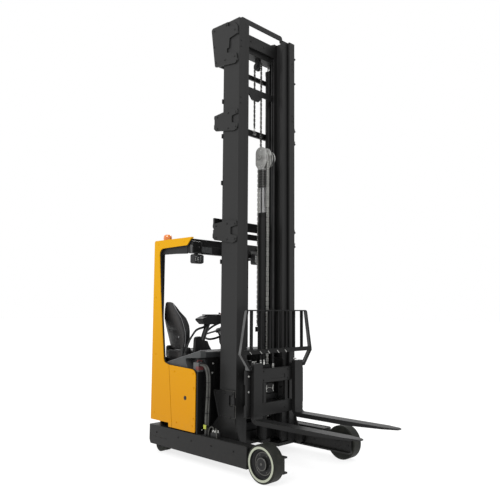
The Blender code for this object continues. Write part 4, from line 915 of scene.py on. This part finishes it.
def make_head_bits():
    """Ribs, pins and bolts of the crosshead."""
    ribs = Build()
    outline = [(axle_x + head_x + x, y) for x, y in rounded(0.039, 0.049, 5, 20)]
    for i in range(7):
        z = 2.752 + i * 0.027
        ribs.plate("z", z, z + 0.010, outline)
    ribs.done("crosshead_ribs", "chain_core", "free_lift_head")
    pins = Build()
    for y, way in ((-0.06, -1), (0.10, 1)):
        pins.lathe(at(head_x, y, head_z), (0, way, 0), [
            (0.018, 0.004), (0.021, 0.001), (0.021, -0.012)], 6)
    for side in sides:
        for x, z in ((-0.02, 2.965), (0.02, 2.965), (-0.045, 3.02), (0.045, 3.02), (0.0, 3.135)):
            pins.bolt(at(head_x + x, side * 0.043, z), (0, side, 0), 0.006)
        for k in range(5):
            spot = around(head_x, side * 0.0265, head_z, 0.052, math.tau * k / 5)
            pins.lathe(spot, (0, side, 0), [(0.008, 0.0012), (0.0095, 0)], 12)
    for k in range(6):
        spot = around(head_x, 0.095, head_z, 0.045, math.tau * k / 6)
        pins.lathe(spot, (0, 1, 0), [(0.009, 0.002), (0.011, 0)], 12)
    pins.done("crosshead_pins", "bolt_steel", "free_lift_head")


def make_carriage_bits():
    """Screws, chain anchors, fittings and the valve on the lift carriage."""
    dark = Build()
    bits = Build()
    for side in sides:
        for y, z in ((0.19, 0.525), (0.19, 0.855), (0.06, 0.855), (0.20, 0.69)):
            dark.bolt(at(plate_face, side * y, z), to_front, 0.009)
        for z in (0.60, 0.92):
            dark.bolt(at(-0.6, side * 0.225, z), (0, -side, 0), 0.012)
    dark.done("lift_carriage_screws", "black_paint", "lift_carriage")
    for y, z in ((0.16, 0.545), (0.185, 0.55)):
        bits.bolt(at(plate_face, y, z), to_front, 0.008)
    for y in (-0.099, -0.052):
        bits.lathe(at(-0.517, y, 0.9303), to_top, [(0.0125, 0.03), (0.014, 0.026), (0.014, 0)], 6)
        bits.lathe(at(-0.517, y, 0.966), to_top, [(0.0125, 0.012), (0.0125, 0)], 6)
    bits.bolt(at(-0.521, 0.0, 0.874), (0, 0, -1), 0.008)
    bits.done("lift_carriage_bolts", "bolt_steel", "lift_carriage")
    valve = Build()
    for y in (-0.045, 0.05):
        for z in (0.668, 0.722):
            valve.lathe(at(-0.4885, y, z), to_front, [(0.0055, 0.010), (0.0065, 0.007), (0.0065, 0)], 6)
        valve.tube([at(-0.4865, y, 0.675), at(-0.4865, y, 0.715)], 0.0042, 8)
    valve.tube([at(-0.4865, -0.042, 0.695), at(-0.4865, -0.02, 0.705), at(-0.4865, 0.047, 0.693)], 0.004, 8)
    valve.done("carriage_fittings", "bolt_steel", "lift_carriage")
    body = Build()
    body.block(at(-0.520, -0.075, 0.650), at(-0.488, 0.075, 0.742))
    body.block(at(-0.5245, -0.13, 0.585), at(-0.505, 0.13, 0.640))
    body.done("side_shift_valve", "black_paint", "lift_carriage", 0.002)


def make_carrier_bits():
    """Bolts, pins, welds and scuffs of the fork carrier and backrest."""
    carrier = Build()
    front = -0.3933
    for y in (-0.18, 0.18):
        for z in (0.795, 0.88):
            carrier.bolt(at(front, y, z), to_front, 0.008)
    bright = Build()
    for y, z in ((0.255, 0.602), (0.139, 0.509)):
        carrier.bolt(at(-0.3963, y, z), to_front, 0.008)
    for side in sides:
        for z in (0.705, 0.848):
            bright.bolt(at(-0.3923, side * 0.393, z), to_front, 0.0085)
    bright.done("strip_bolts", "bolt_steel", "fork_carrier")
    for side in sides:
        carrier.bolt(at(-0.364, side * 0.39, 0.925), to_front, 0.007)
        carrier.lathe(at(-0.465, side * 0.235, 0.56), (0, side, 0), [
            (0.02, 0.004), (0.022, 0.001), (0.022, -0.002)], 20)
    for y in (-0.345, -0.2, -0.12, -0.04, 0.04, 0.12, 0.2, 0.345):
        carrier.lathe(at(-0.4138, y, 0.9045), to_top, [(0.008, 0.0008), (0.009, 0.0)], 12)
    carrier.done("fork_carrier_bolts", "black_paint", "fork_carrier")
    grips = Build()
    for side in sides:
        grips.lathe(at(-0.41, side * 0.30, 0.9403), to_top, [
            (0.006, 0.034), (0.006, 0.014), (0.012, 0.013), (0.012, 0.0)], 14)
        grips.tube([at(-0.41, side * 0.30 - 0.026, 0.978), at(-0.41, side * 0.30 + 0.026, 0.978)], 0.0065, 10)
    grips.done("fork_pins", "bolt_steel", "fork_carrier")
    welds = Build()
    for y in [0.125 * i for i in range(-3, 4)]:
        for z, way in ((1.095, 1), (1.463, -1)):
            top = z + way * 0.004
            welds.tube([at(-0.379, y - 0.0095, z), at(-0.379, y - 0.0085, top),
                        at(-0.379, y + 0.0085, top), at(-0.379, y + 0.0095, z)], 0.0026, 6)
    welds.done("backrest_welds", "black_paint", "fork_carrier", 0)
    ends = Build()
    for y in (-0.40, -0.257, -0.146, -0.011, 0.107):
        ends.tube([at(-0.3625, y - 0.014, 1.081), at(-0.3625, y + 0.014, 1.055)], 0.0036, 8)
    ends.done("backrest_scuffs", "bolt_steel", "fork_carrier", 0)


# Wheels, legs and chassis


def make_wheel_bits():
    """Edges of each load wheel's cap and recess in a paler metal than the hub, as painted highlights, and the
    screws inside.
    """
    for side, name in both:
        face = side * wheel_face
        outward = (0, side, 0)
        cap = at(0, face - side * 0.0082, axle_z)
        recess = face - side * 0.0365
        edges = Build()
        # Painted highlights: cap and recess edges in a paler metal than the hub, to show as light arcs
        edges.ring(cap, outward, [
            (0.047, 0.0015), (0.054, 0.0015), (0.0562, -0.001), (0.0562, -0.008), (0.047, -0.008)], 40)
        edges.ring(at(0, recess, axle_z), outward, [
            (0.090, 0.0015), (0.0985, 0.0025), (0.0998, 0.0), (0.090, -0.001)], 44)
        edges.lathe(cap, outward, [(0.010, 0.0045), (0.013, 0.002), (0.013, -0.001)], 6)
        for i in range(6):
            edges.screw(around(0, recess, axle_z, 0.078, math.tau * i / 6), outward, 0.007)
        edges.done(f"load_wheel_{name}_edges", "chain_core", f"load_wheel_{name}")


def make_chassis_bits():
    """Bolts, edges and the steering bearing of the chassis."""
    bits = Build()
    for side in sides:
        for x in (-1.50, -1.15, -0.95, -0.66, -0.36):
            bits.bolt(at(x, side * leg_face, 0.205), (0, side, 0), 0.008)
        for z in (0.12, 0.235):
            for y in (0.53, 0.60):
                bits.bolt(at(leg_end, side * y, z), to_front, 0.007)
        for x in (-0.80, -0.65, -0.50, -0.35, -0.24):
            bits.screw(at(x, side * 0.595, leg_top), to_top, 0.007)
        for x in (-0.6, -0.3, 0.0, 0.11):
            bits.screw(at(x, side * leg_inside, 0.155), (0, -side, 0), 0.008)
        bits.lathe(at(0, side * leg_inside, 0.165), (0, -side, 0), [
            (0.026, 0.004), (0.030, 0.001), (0.030, -0.001)], 28)
    bits.done("chassis_bolts", "black_paint", "chassis")
    seams = Build()
    for side in sides:
        seams.tube([at(-0.862, side * 0.6145, 0.2765), at(-0.20, side * 0.6145, 0.2765)], 0.0035, 8)
        seams.block(at(-0.19, side * 0.514, 0.09), at(-0.1865, side * 0.616, 0.267))
        seams.block(at(-1.595, side * 0.6202, 0.158), at(-1.33, side * 0.6222, 0.162))
    seams.done("chassis_edges", "black_paint", "chassis", 0.001)
    steer = Build()
    steer.ring(at(-1.385, 0.20, 0.453), to_top, [
        (0.052, 0.004), (0.085, 0.004), (0.09, 0.0), (0.052, 0.0)], 32)
    for i in range(8):
        turn = math.tau * i / 8
        steer.bolt(at(-1.385 + 0.07 * math.cos(turn), 0.20 + 0.07 * math.sin(turn), 0.4565), to_top, 0.005)
    steer.done("turret_bearing", "bolt_steel", "chassis")


# Body, guard and lamps


def make_body_bits():
    """Screws of the yellow body and the bulkhead's bolts."""
    metal_bits = Build()
    for side, rear in ((-1, -1.235), (1, -1.19)):
        for x, z in ((-0.945, 0.845), (-0.945, 0.345), (-1.19, 0.345), (rear, 0.845)):
            metal_bits.screw(at(x, side * cover_face, z), (0, side, 0), 0.008)
    for z in (0.709, 0.417):
        metal_bits.screw(at(-0.93, -cover_face, z), (0, -1, 0), 0.009)
    front_bolts = Build()
    for y in (-0.55, -0.30, 0.0, 0.30, 0.55):
        front_bolts.screw(at(bulkhead_face, y, 0.31), to_front, 0.007)
    for y, z in ((-0.411, 0.938), (-0.420, 0.848), (0.411, 0.938), (0.42, 0.848)):
        front_bolts.bolt(at(bulkhead_face, y, z), to_front, 0.009)
    front_bolts.done("bulkhead_bolts", "bolt_steel", "chassis")
    for side in sides:
        for x, z in ((-1.56, 0.40), (-1.56, 1.0), (-1.575, 1.6), (-1.55, 2.16), (-1.12, 2.165)):
            metal_bits.screw(at(x, side * cover_face, z), (0, side, 0), 0.007)
        for x in (-1.50, -1.20):
            metal_bits.bolt(at(x, side * 0.55, roof_top), to_top, 0.008)
    metal_bits.done("body_screws", "yellow_paint", "chassis")


def make_body_trim():
    """Cowl edges, cover latches, the grab rail and the floor mat."""
    seam = Build()
    for side in sides:
        seam.block(at(-1.585, side * 0.5795 - 0.0006, 0.33), at(-1.582, side * 0.5795 + 0.0006, 1.60))
    # Painted highlight: pale tubes along the cowl's two top edges
    seam.tube([at(-1.395, -0.5765, 0.927), at(-0.885, -0.5765, 1.0685)], 0.0028, 8)
    seam.tube([at(-1.395, -0.515, 0.927), at(-0.885, -0.515, 1.0685)], 0.0034, 8)
    seam.tube([at(-0.885, -0.5765, 1.0685), at(-0.875, -0.5765, 1.0715), at(-0.875, -0.40, 1.0725)],
              0.0034, 8)
    seam.done("cowl_edges", "piping", "chassis", 0)
    latch = Build()
    latch.lathe(at(-1.06, -0.6102, 0.60), (0, -1, 0), [
        (0.017, 0.0025), (0.021, 0.001), (0.021, -0.001)], 28)
    latch.block(at(-1.0745, -0.6142, 0.597), at(-1.0455, -0.6122, 0.603))
    latch.lathe(at(-1.06, 0.6102, 0.60), (0, 1, 0), [
        (0.017, 0.0025), (0.021, 0.001), (0.021, -0.001)], 28)
    latch.done("cover_latches", "dark_plastic", "chassis")
    rail = Build()
    rail_y = 0.595
    grip = [(-1.512, 1.02), (-1.478, 1.045), (-1.468, 1.12), (-1.468, 1.42), (-1.478, 1.50), (-1.522, 1.53)]
    rail.tube(curve_through([at(x, rail_y, z) for x, z in grip], 5), 0.011, 12)
    for x, z in ((-1.512, 1.02), (-1.524, 1.53)):
        rail.lathe(at(x, rail_y, z), to_front, [(0.018, 0.006), (0.02, 0.0)], 16)
    rail.done("entry_grab_rail", "dark_plastic", "chassis", 0)
    step = Build()
    for i in range(11):
        step.block(at(-1.565 + i * 0.034, 0.20, 0.4701), at(-1.552 + i * 0.034, 0.555, 0.4722))
    step.block(at(-1.585, 0.556, 0.470), at(-1.20, 0.566, 0.4735))
    step.done("floor_mat_ribs", "hose", "chassis", 0.0005)


def make_leg_valve():
    """The small valve on the right leg, with its hoses and the battery leads' clamp."""
    blocks, fittings, tag = Build(), Build(), Build()
    blocks.block(at(-0.811, -0.577, 0.345), at(-0.781, -0.519, 0.362))
    blocks.block(at(-0.705, -0.585, 0.2752), at(-0.625, -0.530, 0.318))
    blocks.done("leg_valve_block", "dark_plastic", "chassis", 0.002)
    tag.block(at(-0.815, -0.5805, 0.334), at(-0.776, -0.5765, 0.373))
    tag.done("lead_clamp_cover", "lime_plastic", "chassis", 0.001)
    for x, y in ((-0.688, -0.565), (-0.660, -0.565), (-0.640, -0.548)):
        fittings.lathe(at(x, y, 0.318), to_top, [
            (0.007, 0.022), (0.007, 0.012), (0.0105, 0.012), (0.0105, 0)], 6)
    fittings.done("leg_valve_fittings", "bolt_steel", "chassis")
    free_cord("leg_valve_hose_front", "pale_hose", (
        (-0.660, -0.565, 0.334), (-0.660, -0.565, 0.345), (-0.655, -0.568, 0.354), (-0.640, -0.576, 0.355),
        (-0.622, -0.586, 0.340), (-0.614, -0.591, 0.310), (-0.612, -0.592, 0.278)), 0.0055)
    free_cord("leg_valve_hose_rear", "pale_hose", (
        (-0.688, -0.565, 0.334), (-0.688, -0.565, 0.347), (-0.694, -0.563, 0.358), (-0.715, -0.560, 0.362),
        (-0.742, -0.560, 0.350), (-0.756, -0.560, 0.315), (-0.760, -0.560, 0.278)), 0.0055)


def make_bulkhead_panels():
    """Two thin panels on the battery bulkhead."""
    plate = Build()
    plate.block(at(-0.869, -0.40, 0.60), at(-0.8672, 0.40, 0.96))
    plate.block(at(-0.869, -0.44, 0.30), at(-0.8672, 0.44, 0.56))
    plate.done("bulkhead_panels", "deep_paint", "chassis", 0.001)


def make_guard_shade_sheets():
    """Dark sheets inside each guard side, with a round corner, as painted shade, and the lamps' brackets on
    the beam.
    """
    trim, brackets = Build(), Build()
    # Painted shade: dark sheets inside each guard side, where the roof rails' shade falls
    outline = [(-1.590, 2.14), (-1.590, 1.955), (-1.586, 1.99), (-1.578, 2.018), (-1.561, 2.036),
               (-1.538, 2.047), (-1.500, 2.053), (-1.30, 2.050), (-1.103, 2.042), (-1.103, 2.14)]
    for side in sides:
        trim.plate("y", side * 0.5785, side * 0.566, [(axle_x + x, z) for x, z in outline])
    trim.done("guard_shade_sheets", "dark_plastic", "chassis", 0.002)
    brackets.plate("x", axle_x - 1.0395, axle_x - 1.028, [
        (-0.592, 2.128), (-0.587, 2.047), (-0.468, 2.047), (-0.470, 2.128)])
    brackets.plate("x", axle_x - 1.0395, axle_x - 1.030, [
        (0.285, 2.125), (0.285, 2.088), (0.395, 2.088), (0.395, 2.125)])
    for y in (-0.575, -0.487):
        brackets.bolt(at(-1.028, y, 2.112), to_front, 0.006)
    brackets.done("lamp_brackets", "bracket_plastic", "chassis", 0.0012)
    boxes = Build()
    for low, high in ((-0.44, -0.30), (-0.12, 0.03), (0.11, 0.24)):
        boxes.block(at(-1.0395, low, 2.058), at(-1.034, high, 2.118))
    boxes.done("beam_covers", "grey_plastic", "chassis", 0.0015)


def make_lamps():
    """Lenses, reflectors and fins of the work lamps, and the beacon's ribs and base."""
    glass, rims, ribs = Build(), Build(), Build()
    reflector = [(0.0135, 0.0012), (0.0155, 0.0012), (0.0165, 0.0), (0.0135, 0.0)]
    for low, high in (((-1.07, -0.57, 1.945), (-1.0, -0.44, 2.03)),
                      ((-1.04, 0.28, 1.98), (-0.975, 0.40, 2.09))):
        x = high[0]
        right, left, bottom, top = low[1] + 0.012, high[1] - 0.012, low[2] + 0.012, high[2] - 0.012
        glass.block(at(x - 0.004, right + 0.0005, bottom + 0.0005),
                    at(x - 0.0015, left - 0.0005, top - 0.0005))
        wide = (left - right) / 3
        for i in range(3):
            for k in range(2):
                z = bottom + (top - bottom) * (0.28 + 0.44 * k)
                rims.ring(at(x - 0.0018, right + wide * (i + 0.5), z), to_front, reflector, 20)
        for i in range(7):
            y = low[1] + 0.015 + i * (high[1] - low[1] - 0.03) / 6
            for foot, tip in ((high[2] - 0.004, high[2] + 0.0045), (low[2] - 0.0045, low[2] + 0.004)):
                ribs.block(at(low[0] + 0.003, y - 0.0022, foot), at(high[0] - 0.012, y + 0.0022, tip))
    glass.done("work_lamp_lenses", "lens", "chassis", 0.0008)
    rims.done("work_lamp_reflectors", "bolt_steel", "chassis", 0)
    ribs.done("work_lamp_fins", "lamp", "chassis", 0.0006)
    rings = Build()
    centre = at(-1.535, -0.50, 2.1903)
    for k in range(5):
        z = 0.022 + k * 0.009
        rings.ring(centre, to_top, [(0.0455, z + 0.003), (0.0472, z + 0.0015), (0.0455, z)], 32)
    rings.done("beacon_ribs", "beacon", "chassis", 0)
    base = Build()
    base.ring(centre, to_top, [
        (0.0522, 0.013), (0.0525, 0.003), (0.056, 0.0), (0.044, 0.0), (0.044, 0.015), (0.050, 0.015)], 32)
    base.done("beacon_base", "dark_plastic", "chassis", 0.0006)


# Seat and controls

seat_turn = Matrix.Translation(at(-1.318, -0.2935, 0)) @ Matrix.Rotation(math.radians(-15), 4, "Z")


def pad(name, look, centre, half, power, bend, detail):
    """A stuffed form: a rounded block of many small faces that bend() then shapes."""
    shape = bmesh.new()
    bmesh.ops.create_cube(shape, size=2.0)
    bmesh.ops.subdivide_edges(shape, edges=shape.edges, cuts=detail, use_grid_fill=True)
    for vertex in shape.verts:
        x, y, z = vertex.co
        size = (abs(x) ** power + abs(y) ** power + abs(z) ** power) ** (-1 / power)
        unit = Vector((x, y, z)) * size
        place = Vector((unit.x * half[0], unit.y * half[1], unit.z * half[2]))
        vertex.co = seat_turn @ (Vector(centre) + bend(unit, place))
    mesh = bpy.data.meshes.new(name)
    bmesh.ops.recalc_face_normals(shape, faces=shape.faces)
    shape.to_mesh(mesh)
    shape.free()
    mesh.materials.append(looks[look])
    mesh.shade_smooth()
    thing = put(name, mesh)
    smoother = thing.modifiers.new("rounded", "SUBSURF")
    smoother.levels = 1
    smoother.render_levels = 1
    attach(thing, "chassis")
    return thing


def notch(value, at_value, width, depth):
    """A sewn groove: how deep the hide is pulled in near a seam."""
    share = (value - at_value) / width
    return depth * math.exp(-share * share)


seat_rows = (  # height, half width, rear face and front face of the leaning back
    (1.055, 0.165, -0.205, -0.135), (1.10, 0.180, -0.207, -0.128), (1.17, 0.205, -0.213, -0.125),
    (1.25, 0.220, -0.231, -0.130), (1.31, 0.2135, -0.250, -0.135), (1.38, 0.2035, -0.268, -0.163),
    (1.455, 0.152, -0.286, -0.222), (1.53, 0.100, -0.300, -0.252), (1.548, 0.085, -0.303, -0.258),
)


def seat_row(z):
    """Half width, rear face and front face of the seat's back at a height."""
    for low, high in zip(seat_rows, seat_rows[1:]):
        if z <= high[0]:
            break
    share = min(1.0, max(0.0, (z - low[0]) / (high[0] - low[0])))
    return [a + (b - a) * share for a, b in zip(low[1:], high[1:])]


def back_form(low, high, start, end, narrow, dents):
    """How a pad of the back is bent: it fills one share of the thickness from low to high."""
    def bend(unit, place):
        z = low + (unit.z + 1) / 2 * (high - low)
        width, rear, front = seat_row(z)
        y = rear + (front - rear) * (start + (unit.y + 1) / 2 * (end - start))
        return Vector((unit.x * (width - narrow), y + dents(unit, z), z))
    return bend


def rear_dents(unit, z):
    inside = 1.0 if unit.y < 0 and abs(unit.x) < 0.62 else 0.0
    return notch(z, 1.254, 0.007, 0.009) * inside + (0.006 * unit.x * unit.x if unit.y < 0 else 0.0)


def front_dents(unit, z):
    if unit.y < 0:
        return 0.0
    inside = 1.0 if abs(unit.x) < 0.62 else 0.0
    seams = sum(notch(z, height, 0.006, 0.007) for height in (1.13, 1.20, 1.27, 1.34, 1.41)) * inside
    return -0.024 * (1 - abs(unit.x) ** 4) - seams - notch(abs(unit.x), 0.64, 0.035, 0.006)


def make_seat():
    """The seat's shell and its padded pieces."""
    whole = (1.0, 1.0, 1.0)
    pad("seat_back_shell", "seat_shell", (0, 0, 0), whole, 7,
        back_form(1.055, 1.548, 0.0, 0.40, 0.0, rear_dents), 26)
    back = pad("seat_back_pad", "seat_vinyl", (0, 0, 0), whole, 6,
               back_form(1.060, 1.544, 0.28, 1.0, 0.004, front_dents), 34)
    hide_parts("seat_back")

    def shape_cushion(unit, place):
        up = unit.z > 0
        wing = 0.012 * math.exp(-((abs(unit.x) - 0.84) / 0.13) ** 2) if up else 0.0
        seams = 0.0
        if up:
            inside = 1.0 if abs(unit.x) < 0.66 else 0.0
            seams = sum(notch(place.y, line, 0.006, 0.007) for line in (-0.115, -0.005, 0.095)) * inside
            seams += notch(abs(unit.x), 0.66, 0.03, 0.008)
        crown = 0.008 * (1 - unit.x * unit.x) * (1 - unit.y * unit.y) if up else 0.0
        front = -0.012 * max(0.0, unit.y) ** 4 if up else 0.0
        pull = 1 - 0.02 * (1 - unit.y * unit.y)
        return Vector((place.x * pull, place.y, place.z + wing + crown + front - seams))

    cushion = pad("seat_cushion_pad", "seat_vinyl", (0, 0.065, 1.004), (0.208, 0.203, 0.036), 5,
                  shape_cushion, 30)
    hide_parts("seat_cushion")

    def as_is(unit, place):
        return place

    pad("seat_pan", "seat_shell", (0, -0.175, 1.002), (0.19, 0.058, 0.046), 8, as_is, 8)
    for side, name in both:
        pad(f"seat_bolster_{name}", "seat_vinyl", (side * 0.19, -0.178, 1.022), (0.026, 0.052, 0.064), 6,
            as_is, 8)


def make_seat_bits():
    """The seat's piping, hinges, metal bits and the trim of its box."""
    lines = Build()
    for side in sides:
        edge = []
        for i in range(17):
            z = 1.075 + i * 0.0288
            width, rear, front = seat_row(z)
            edge.append(seat_turn @ Vector((side * (width - 0.002), rear + 0.30 * (front - rear), z)))
        lines.tube(edge, 0.0036, 8)
        rim = [seat_turn @ Vector((side * 0.205, -0.11 + i * 0.034, 1.020)) for i in range(11)]
        lines.tube(rim, 0.003, 8)
    lines.done("seat_piping_lines", "piping", "chassis", 0)
    fittings = Build()
    sideways = seat_turn.to_3x3() @ Vector((1, 0, 0))
    rearward = seat_turn.to_3x3() @ Vector((0, -1, 0))
    for side in sides:
        hub = seat_turn @ Vector((side * 0.168, -0.165, 1.055))
        fittings.lathe(hub, sideways * side, [(0, 0.016), (0.022, 0.014), (0.026, 0.008), (0.026, -0.02)], 22)
        fittings.tube([hub, seat_turn @ Vector((side * 0.168, -0.165, 1.14))], 0.012, 10)
    fittings.done("seat_hinges", "seat_shell", "chassis")
    cap = Build()
    cap.lathe(seat_turn @ Vector((0.10, -0.2185, 1.186)), rearward,
              [(0.006, 0.004), (0.009, 0.001), (0.009, -0.004)], 14)
    lean = seat_turn.to_3x3().to_4x4()
    for x in (-0.15, 0.15):
        spot = seat_turn @ Vector((x, -0.105, 1.047))
        cap.block(spot - Vector((0.017, 0.024, 0.0045)), spot + Vector((0.017, 0.024, 0.0045)), lean)
    for x in (-0.13, 0.13):
        spot = seat_turn @ Vector((x, 0.055, 0.9715))
        cap.block(spot - Vector((0.008, 0.195, 0.0035)), spot + Vector((0.008, 0.195, 0.0035)), lean)
    cap.done("seat_metal", "piping", "chassis", 0.001)
    trim = Build()
    for i in range(5):
        y = -0.46 + i * 0.09
        trim.block(at(-1.541, y, 0.56), at(-1.5395, y + 0.06, 0.565))
    for z in (0.52, 0.90):
        for x in (-1.50, -1.21):
            trim.screw(at(x, -0.03, z), (0, 1, 0), 0.007)
    trim.done("seat_box_trim", "bolt_steel", "chassis")


def free_cord(name, look, route, radius):
    """A cord that hangs between two places of the chassis."""
    points = curve_through([at(*place) for place in route], 7)
    cord = Build()
    cord.tube(points, radius, 12)
    piece = cord.done(name, look, "chassis", 0)
    length = sum((after - before).length for before, after in zip(points, points[1:]))
    return piece, points


def make_cables():
    """The armrest's ribbed cable, and the battery's connector with its two leads."""
    cable, points = free_cord("armrest_cable", "hose", (
        (-1.09, -0.338, 1.3177), (-1.09, -0.338, 1.311), (-1.09, -0.338, 1.304), (-1.09, -0.354, 1.290),
        (-1.088, -0.39, 1.282), (-1.079, -0.44, 1.272), (-1.078, -0.48, 1.249), (-1.088, -0.53, 1.179),
        (-1.097, -0.5547, 1.125), (-1.111, -0.5627, 1.065), (-1.13, -0.5597, 1.043),
        (-1.13, -0.5597, 1.0085)), 0.010)
    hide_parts("control_cable")
    ribs = Build()
    for place, ahead in list(zip(points, points[1:]))[8:-8:2]:
        ribs.ring(place, ahead - place, [
            (0.0095, 0.003), (0.0118, 0.002), (0.0118, -0.002), (0.0095, -0.003)], 14)
    ribs.lathe(points[-1], to_top, [(0, 0.028), (0.012, 0.027), (0.020, 0.006), (0.020, 0)], 18)
    ribs.done("armrest_cable_ribs", "hose", "chassis", 0)
    plug, handle, collars = Build(), Build(), Build()
    plug.block(at(-0.9855, -0.5745, 0.8605), at(-0.9055, -0.5122, 0.952))
    plug.block(at(-0.976, -0.569, 0.950), at(-0.930, -0.518, 0.9553))
    body = plug.done("battery_connector", "bracket_plastic", "chassis", 0.005)
    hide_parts("battery_cables")
    handle.block(at(-0.945, -0.5755, 0.880), at(-0.9045, -0.511, 0.915))
    handle.tube([at(-0.925, -0.572, 0.957), at(-0.925, -0.5745, 0.968), at(-0.925, -0.543, 0.972),
                 at(-0.925, -0.515, 0.968), at(-0.925, -0.516, 0.957)], 0.005, 8)
    handle.done("battery_connector_handle", "red_plastic", "chassis", 0.002)
    lead = ((-0.9205, 0.9303), (-0.867, 0.9303), (-0.83, 0.9203), (-0.80, 0.8803), (-0.785, 0.8003),
            (-0.785, 0.7003), (-0.79, 0.5953), (-0.80, 0.445), (-0.80, 0.31), (-0.80, 0.2753))
    for y, name in ((-0.5617, "right"), (-0.5347, "left")):
        collars.ring(at(-0.9055, y, 0.9303), to_front, [
            (0.0105, 0.014), (0.0140, 0.012), (0.0150, 0.0), (0.0105, 0.0)], 16)
        for x, z in ((-0.7852, 0.77), (-0.7878, 0.63), (-0.7975, 0.48)):
            collars.ring(at(x, y, z), to_top, [
                (0.0105, 0.004), (0.0125, 0.004), (0.0125, -0.004), (0.0105, -0.004)], 16)
        collars.ring(at(-0.80, y, 0.2753), to_top, [
            (0.0105, 0.012), (0.016, 0.010), (0.018, 0), (0.0105, 0)], 16)
        free_cord(f"battery_lead_{name}", "pale_hose", [(x, y, z) for x, z in lead], 0.011)
    collars.done("battery_lead_collars", "dark_plastic", "chassis", 0)


def make_controls():
    """Levers, pad, button and display of the armrest."""
    plastic = Build()
    pod_z = 1.4175
    for i, y in enumerate((-0.10, -0.07, -0.04)):
        plastic.lathe(at(-1.135 + i * 0.016, y, 1.405), (0.0, 0.25, 1), [
            (0, 0.036), (0.008, 0.035), (0.010, 0.028), (0.004, 0.016), (0.004, 0.004), (0.009, 0.002),
            (0.009, 0)], 14)
    plastic.lathe(at(-1.10, -0.035, 1.404), (0, 0.1, 1), [
        (0, 0.052), (0.014, 0.050), (0.019, 0.040), (0.013, 0.022), (0.012, 0.008), (0.018, 0.003),
        (0.018, 0)], 18)
    plastic.done("armrest_levers", "dark_plastic", "chassis", 0)
    pad_top = Build()
    outline = rounded(0.046, 0.105, 6, 24)
    pad_top.prism([at(-1.10 + x, -0.245 + y, 1.4105) for x, y in outline],
                  [at(-1.10 + x * 0.9, -0.245 + y * 0.94, pod_z + 0.004) for x, y in outline])
    pad_top.done("armrest_pad", "seat_vinyl", "chassis", 0.003)
    button = Build()
    button.lathe(at(-1.075, -0.125, pod_z - 0.004), to_top, [
        (0, 0.020), (0.012, 0.019), (0.015, 0.013), (0.008, 0.010), (0.008, 0)], 20)
    button.done("stop_button", "red_plastic", "chassis", 0)
    screen = Build()
    screen.prism(slope(-1.145, -1.06, (-0.012, 1.391), (0.013, 1.378)),
                 slope(-1.143, -1.062, (-0.010, 1.4105), (0.014, 1.398)))
    screen.done("armrest_display", "screen", "chassis", 0.001)


def make_steering_bits():
    """The steering wheel's knob, grips and boot, and the console's display."""
    knob = Build()
    lean = Matrix.Rotation(math.radians(35), 4, "X")
    centre = at(-1.36, 0.10, 1.24)
    axis = lean @ Vector((0, 0, 1))
    spot = centre + lean @ Vector((-0.13, 0.09, 0.012))
    knob.lathe(spot, axis, [
        (0, 0.048), (0.015, 0.046), (0.021, 0.034), (0.016, 0.018), (0.008, 0.012), (0.010, 0)], 18)
    knob.lathe(centre + axis * 0.006, axis, [(0, 0.012), (0.024, 0.010), (0.030, 0.003), (0.030, 0)], 24)
    for i in range(40):
        turn = math.tau * i / 40
        grip = centre + lean @ Vector((0.165 * math.cos(turn), 0.165 * math.sin(turn), -0.0117))
        knob.lathe(grip, -axis, [(0, 0.001), (0.003, 0.0006), (0.004, 0)], 8)
    knob.done("steering_knob", "dark_plastic", "chassis", 0)
    console = Build()
    console.prism(slope(-1.42, -1.30, (0.185, 1.1285), (0.268, 1.158)),
                  slope(-1.415, -1.305, (0.187, 1.134), (0.266, 1.1635)))
    console.done("console_display", "screen", "chassis", 0.001)
    boot = Build()
    folds = [(0.040 - i * 0.0022 + (0.004 if i % 2 else 0.0), i * 0.0065) for i in range(9)]
    boot.lathe(centre - axis * 0.118, axis, [*folds, (0, 0.054)], 24)
    boot.done("steering_boot", "hose", "chassis", 0)


def make_pedal_ribs():
    """Rubber ribs on the two pedals."""
    pedals = Build()
    lean = math.radians(12)
    turn = Matrix.Rotation(lean, 4, "X")
    for x in (-1.575, -1.50):
        for k in range(5):
            y = 0.32 + k * 0.026
            lift = 0.5155 + (y - 0.375) * math.tan(lean)
            pedals.block(at(x + 0.006, y, lift - 0.001), at(x + 0.059, y + 0.010, lift + 0.0035), turn)
    pedals.done("pedal_ribs", "hose", "chassis", 0.0008)


make_camera()
make_studio()
make_looks()
dress_solids()
make_lift_chain()
make_mast_hoses()
make_stage_chains()
make_mast_bits()
make_reach_frame_bits()
make_stage_bits()
make_head_bits()
make_carriage_bits()
make_carrier_bits()
make_wheel_bits()
make_chassis_bits()
make_body_bits()
make_body_trim()
make_leg_valve()
make_bulkhead_panels()
make_guard_shade_sheets()
make_lamps()
make_seat()
make_seat_bits()
make_cables()
make_controls()
make_steering_bits()
make_pedal_ribs()
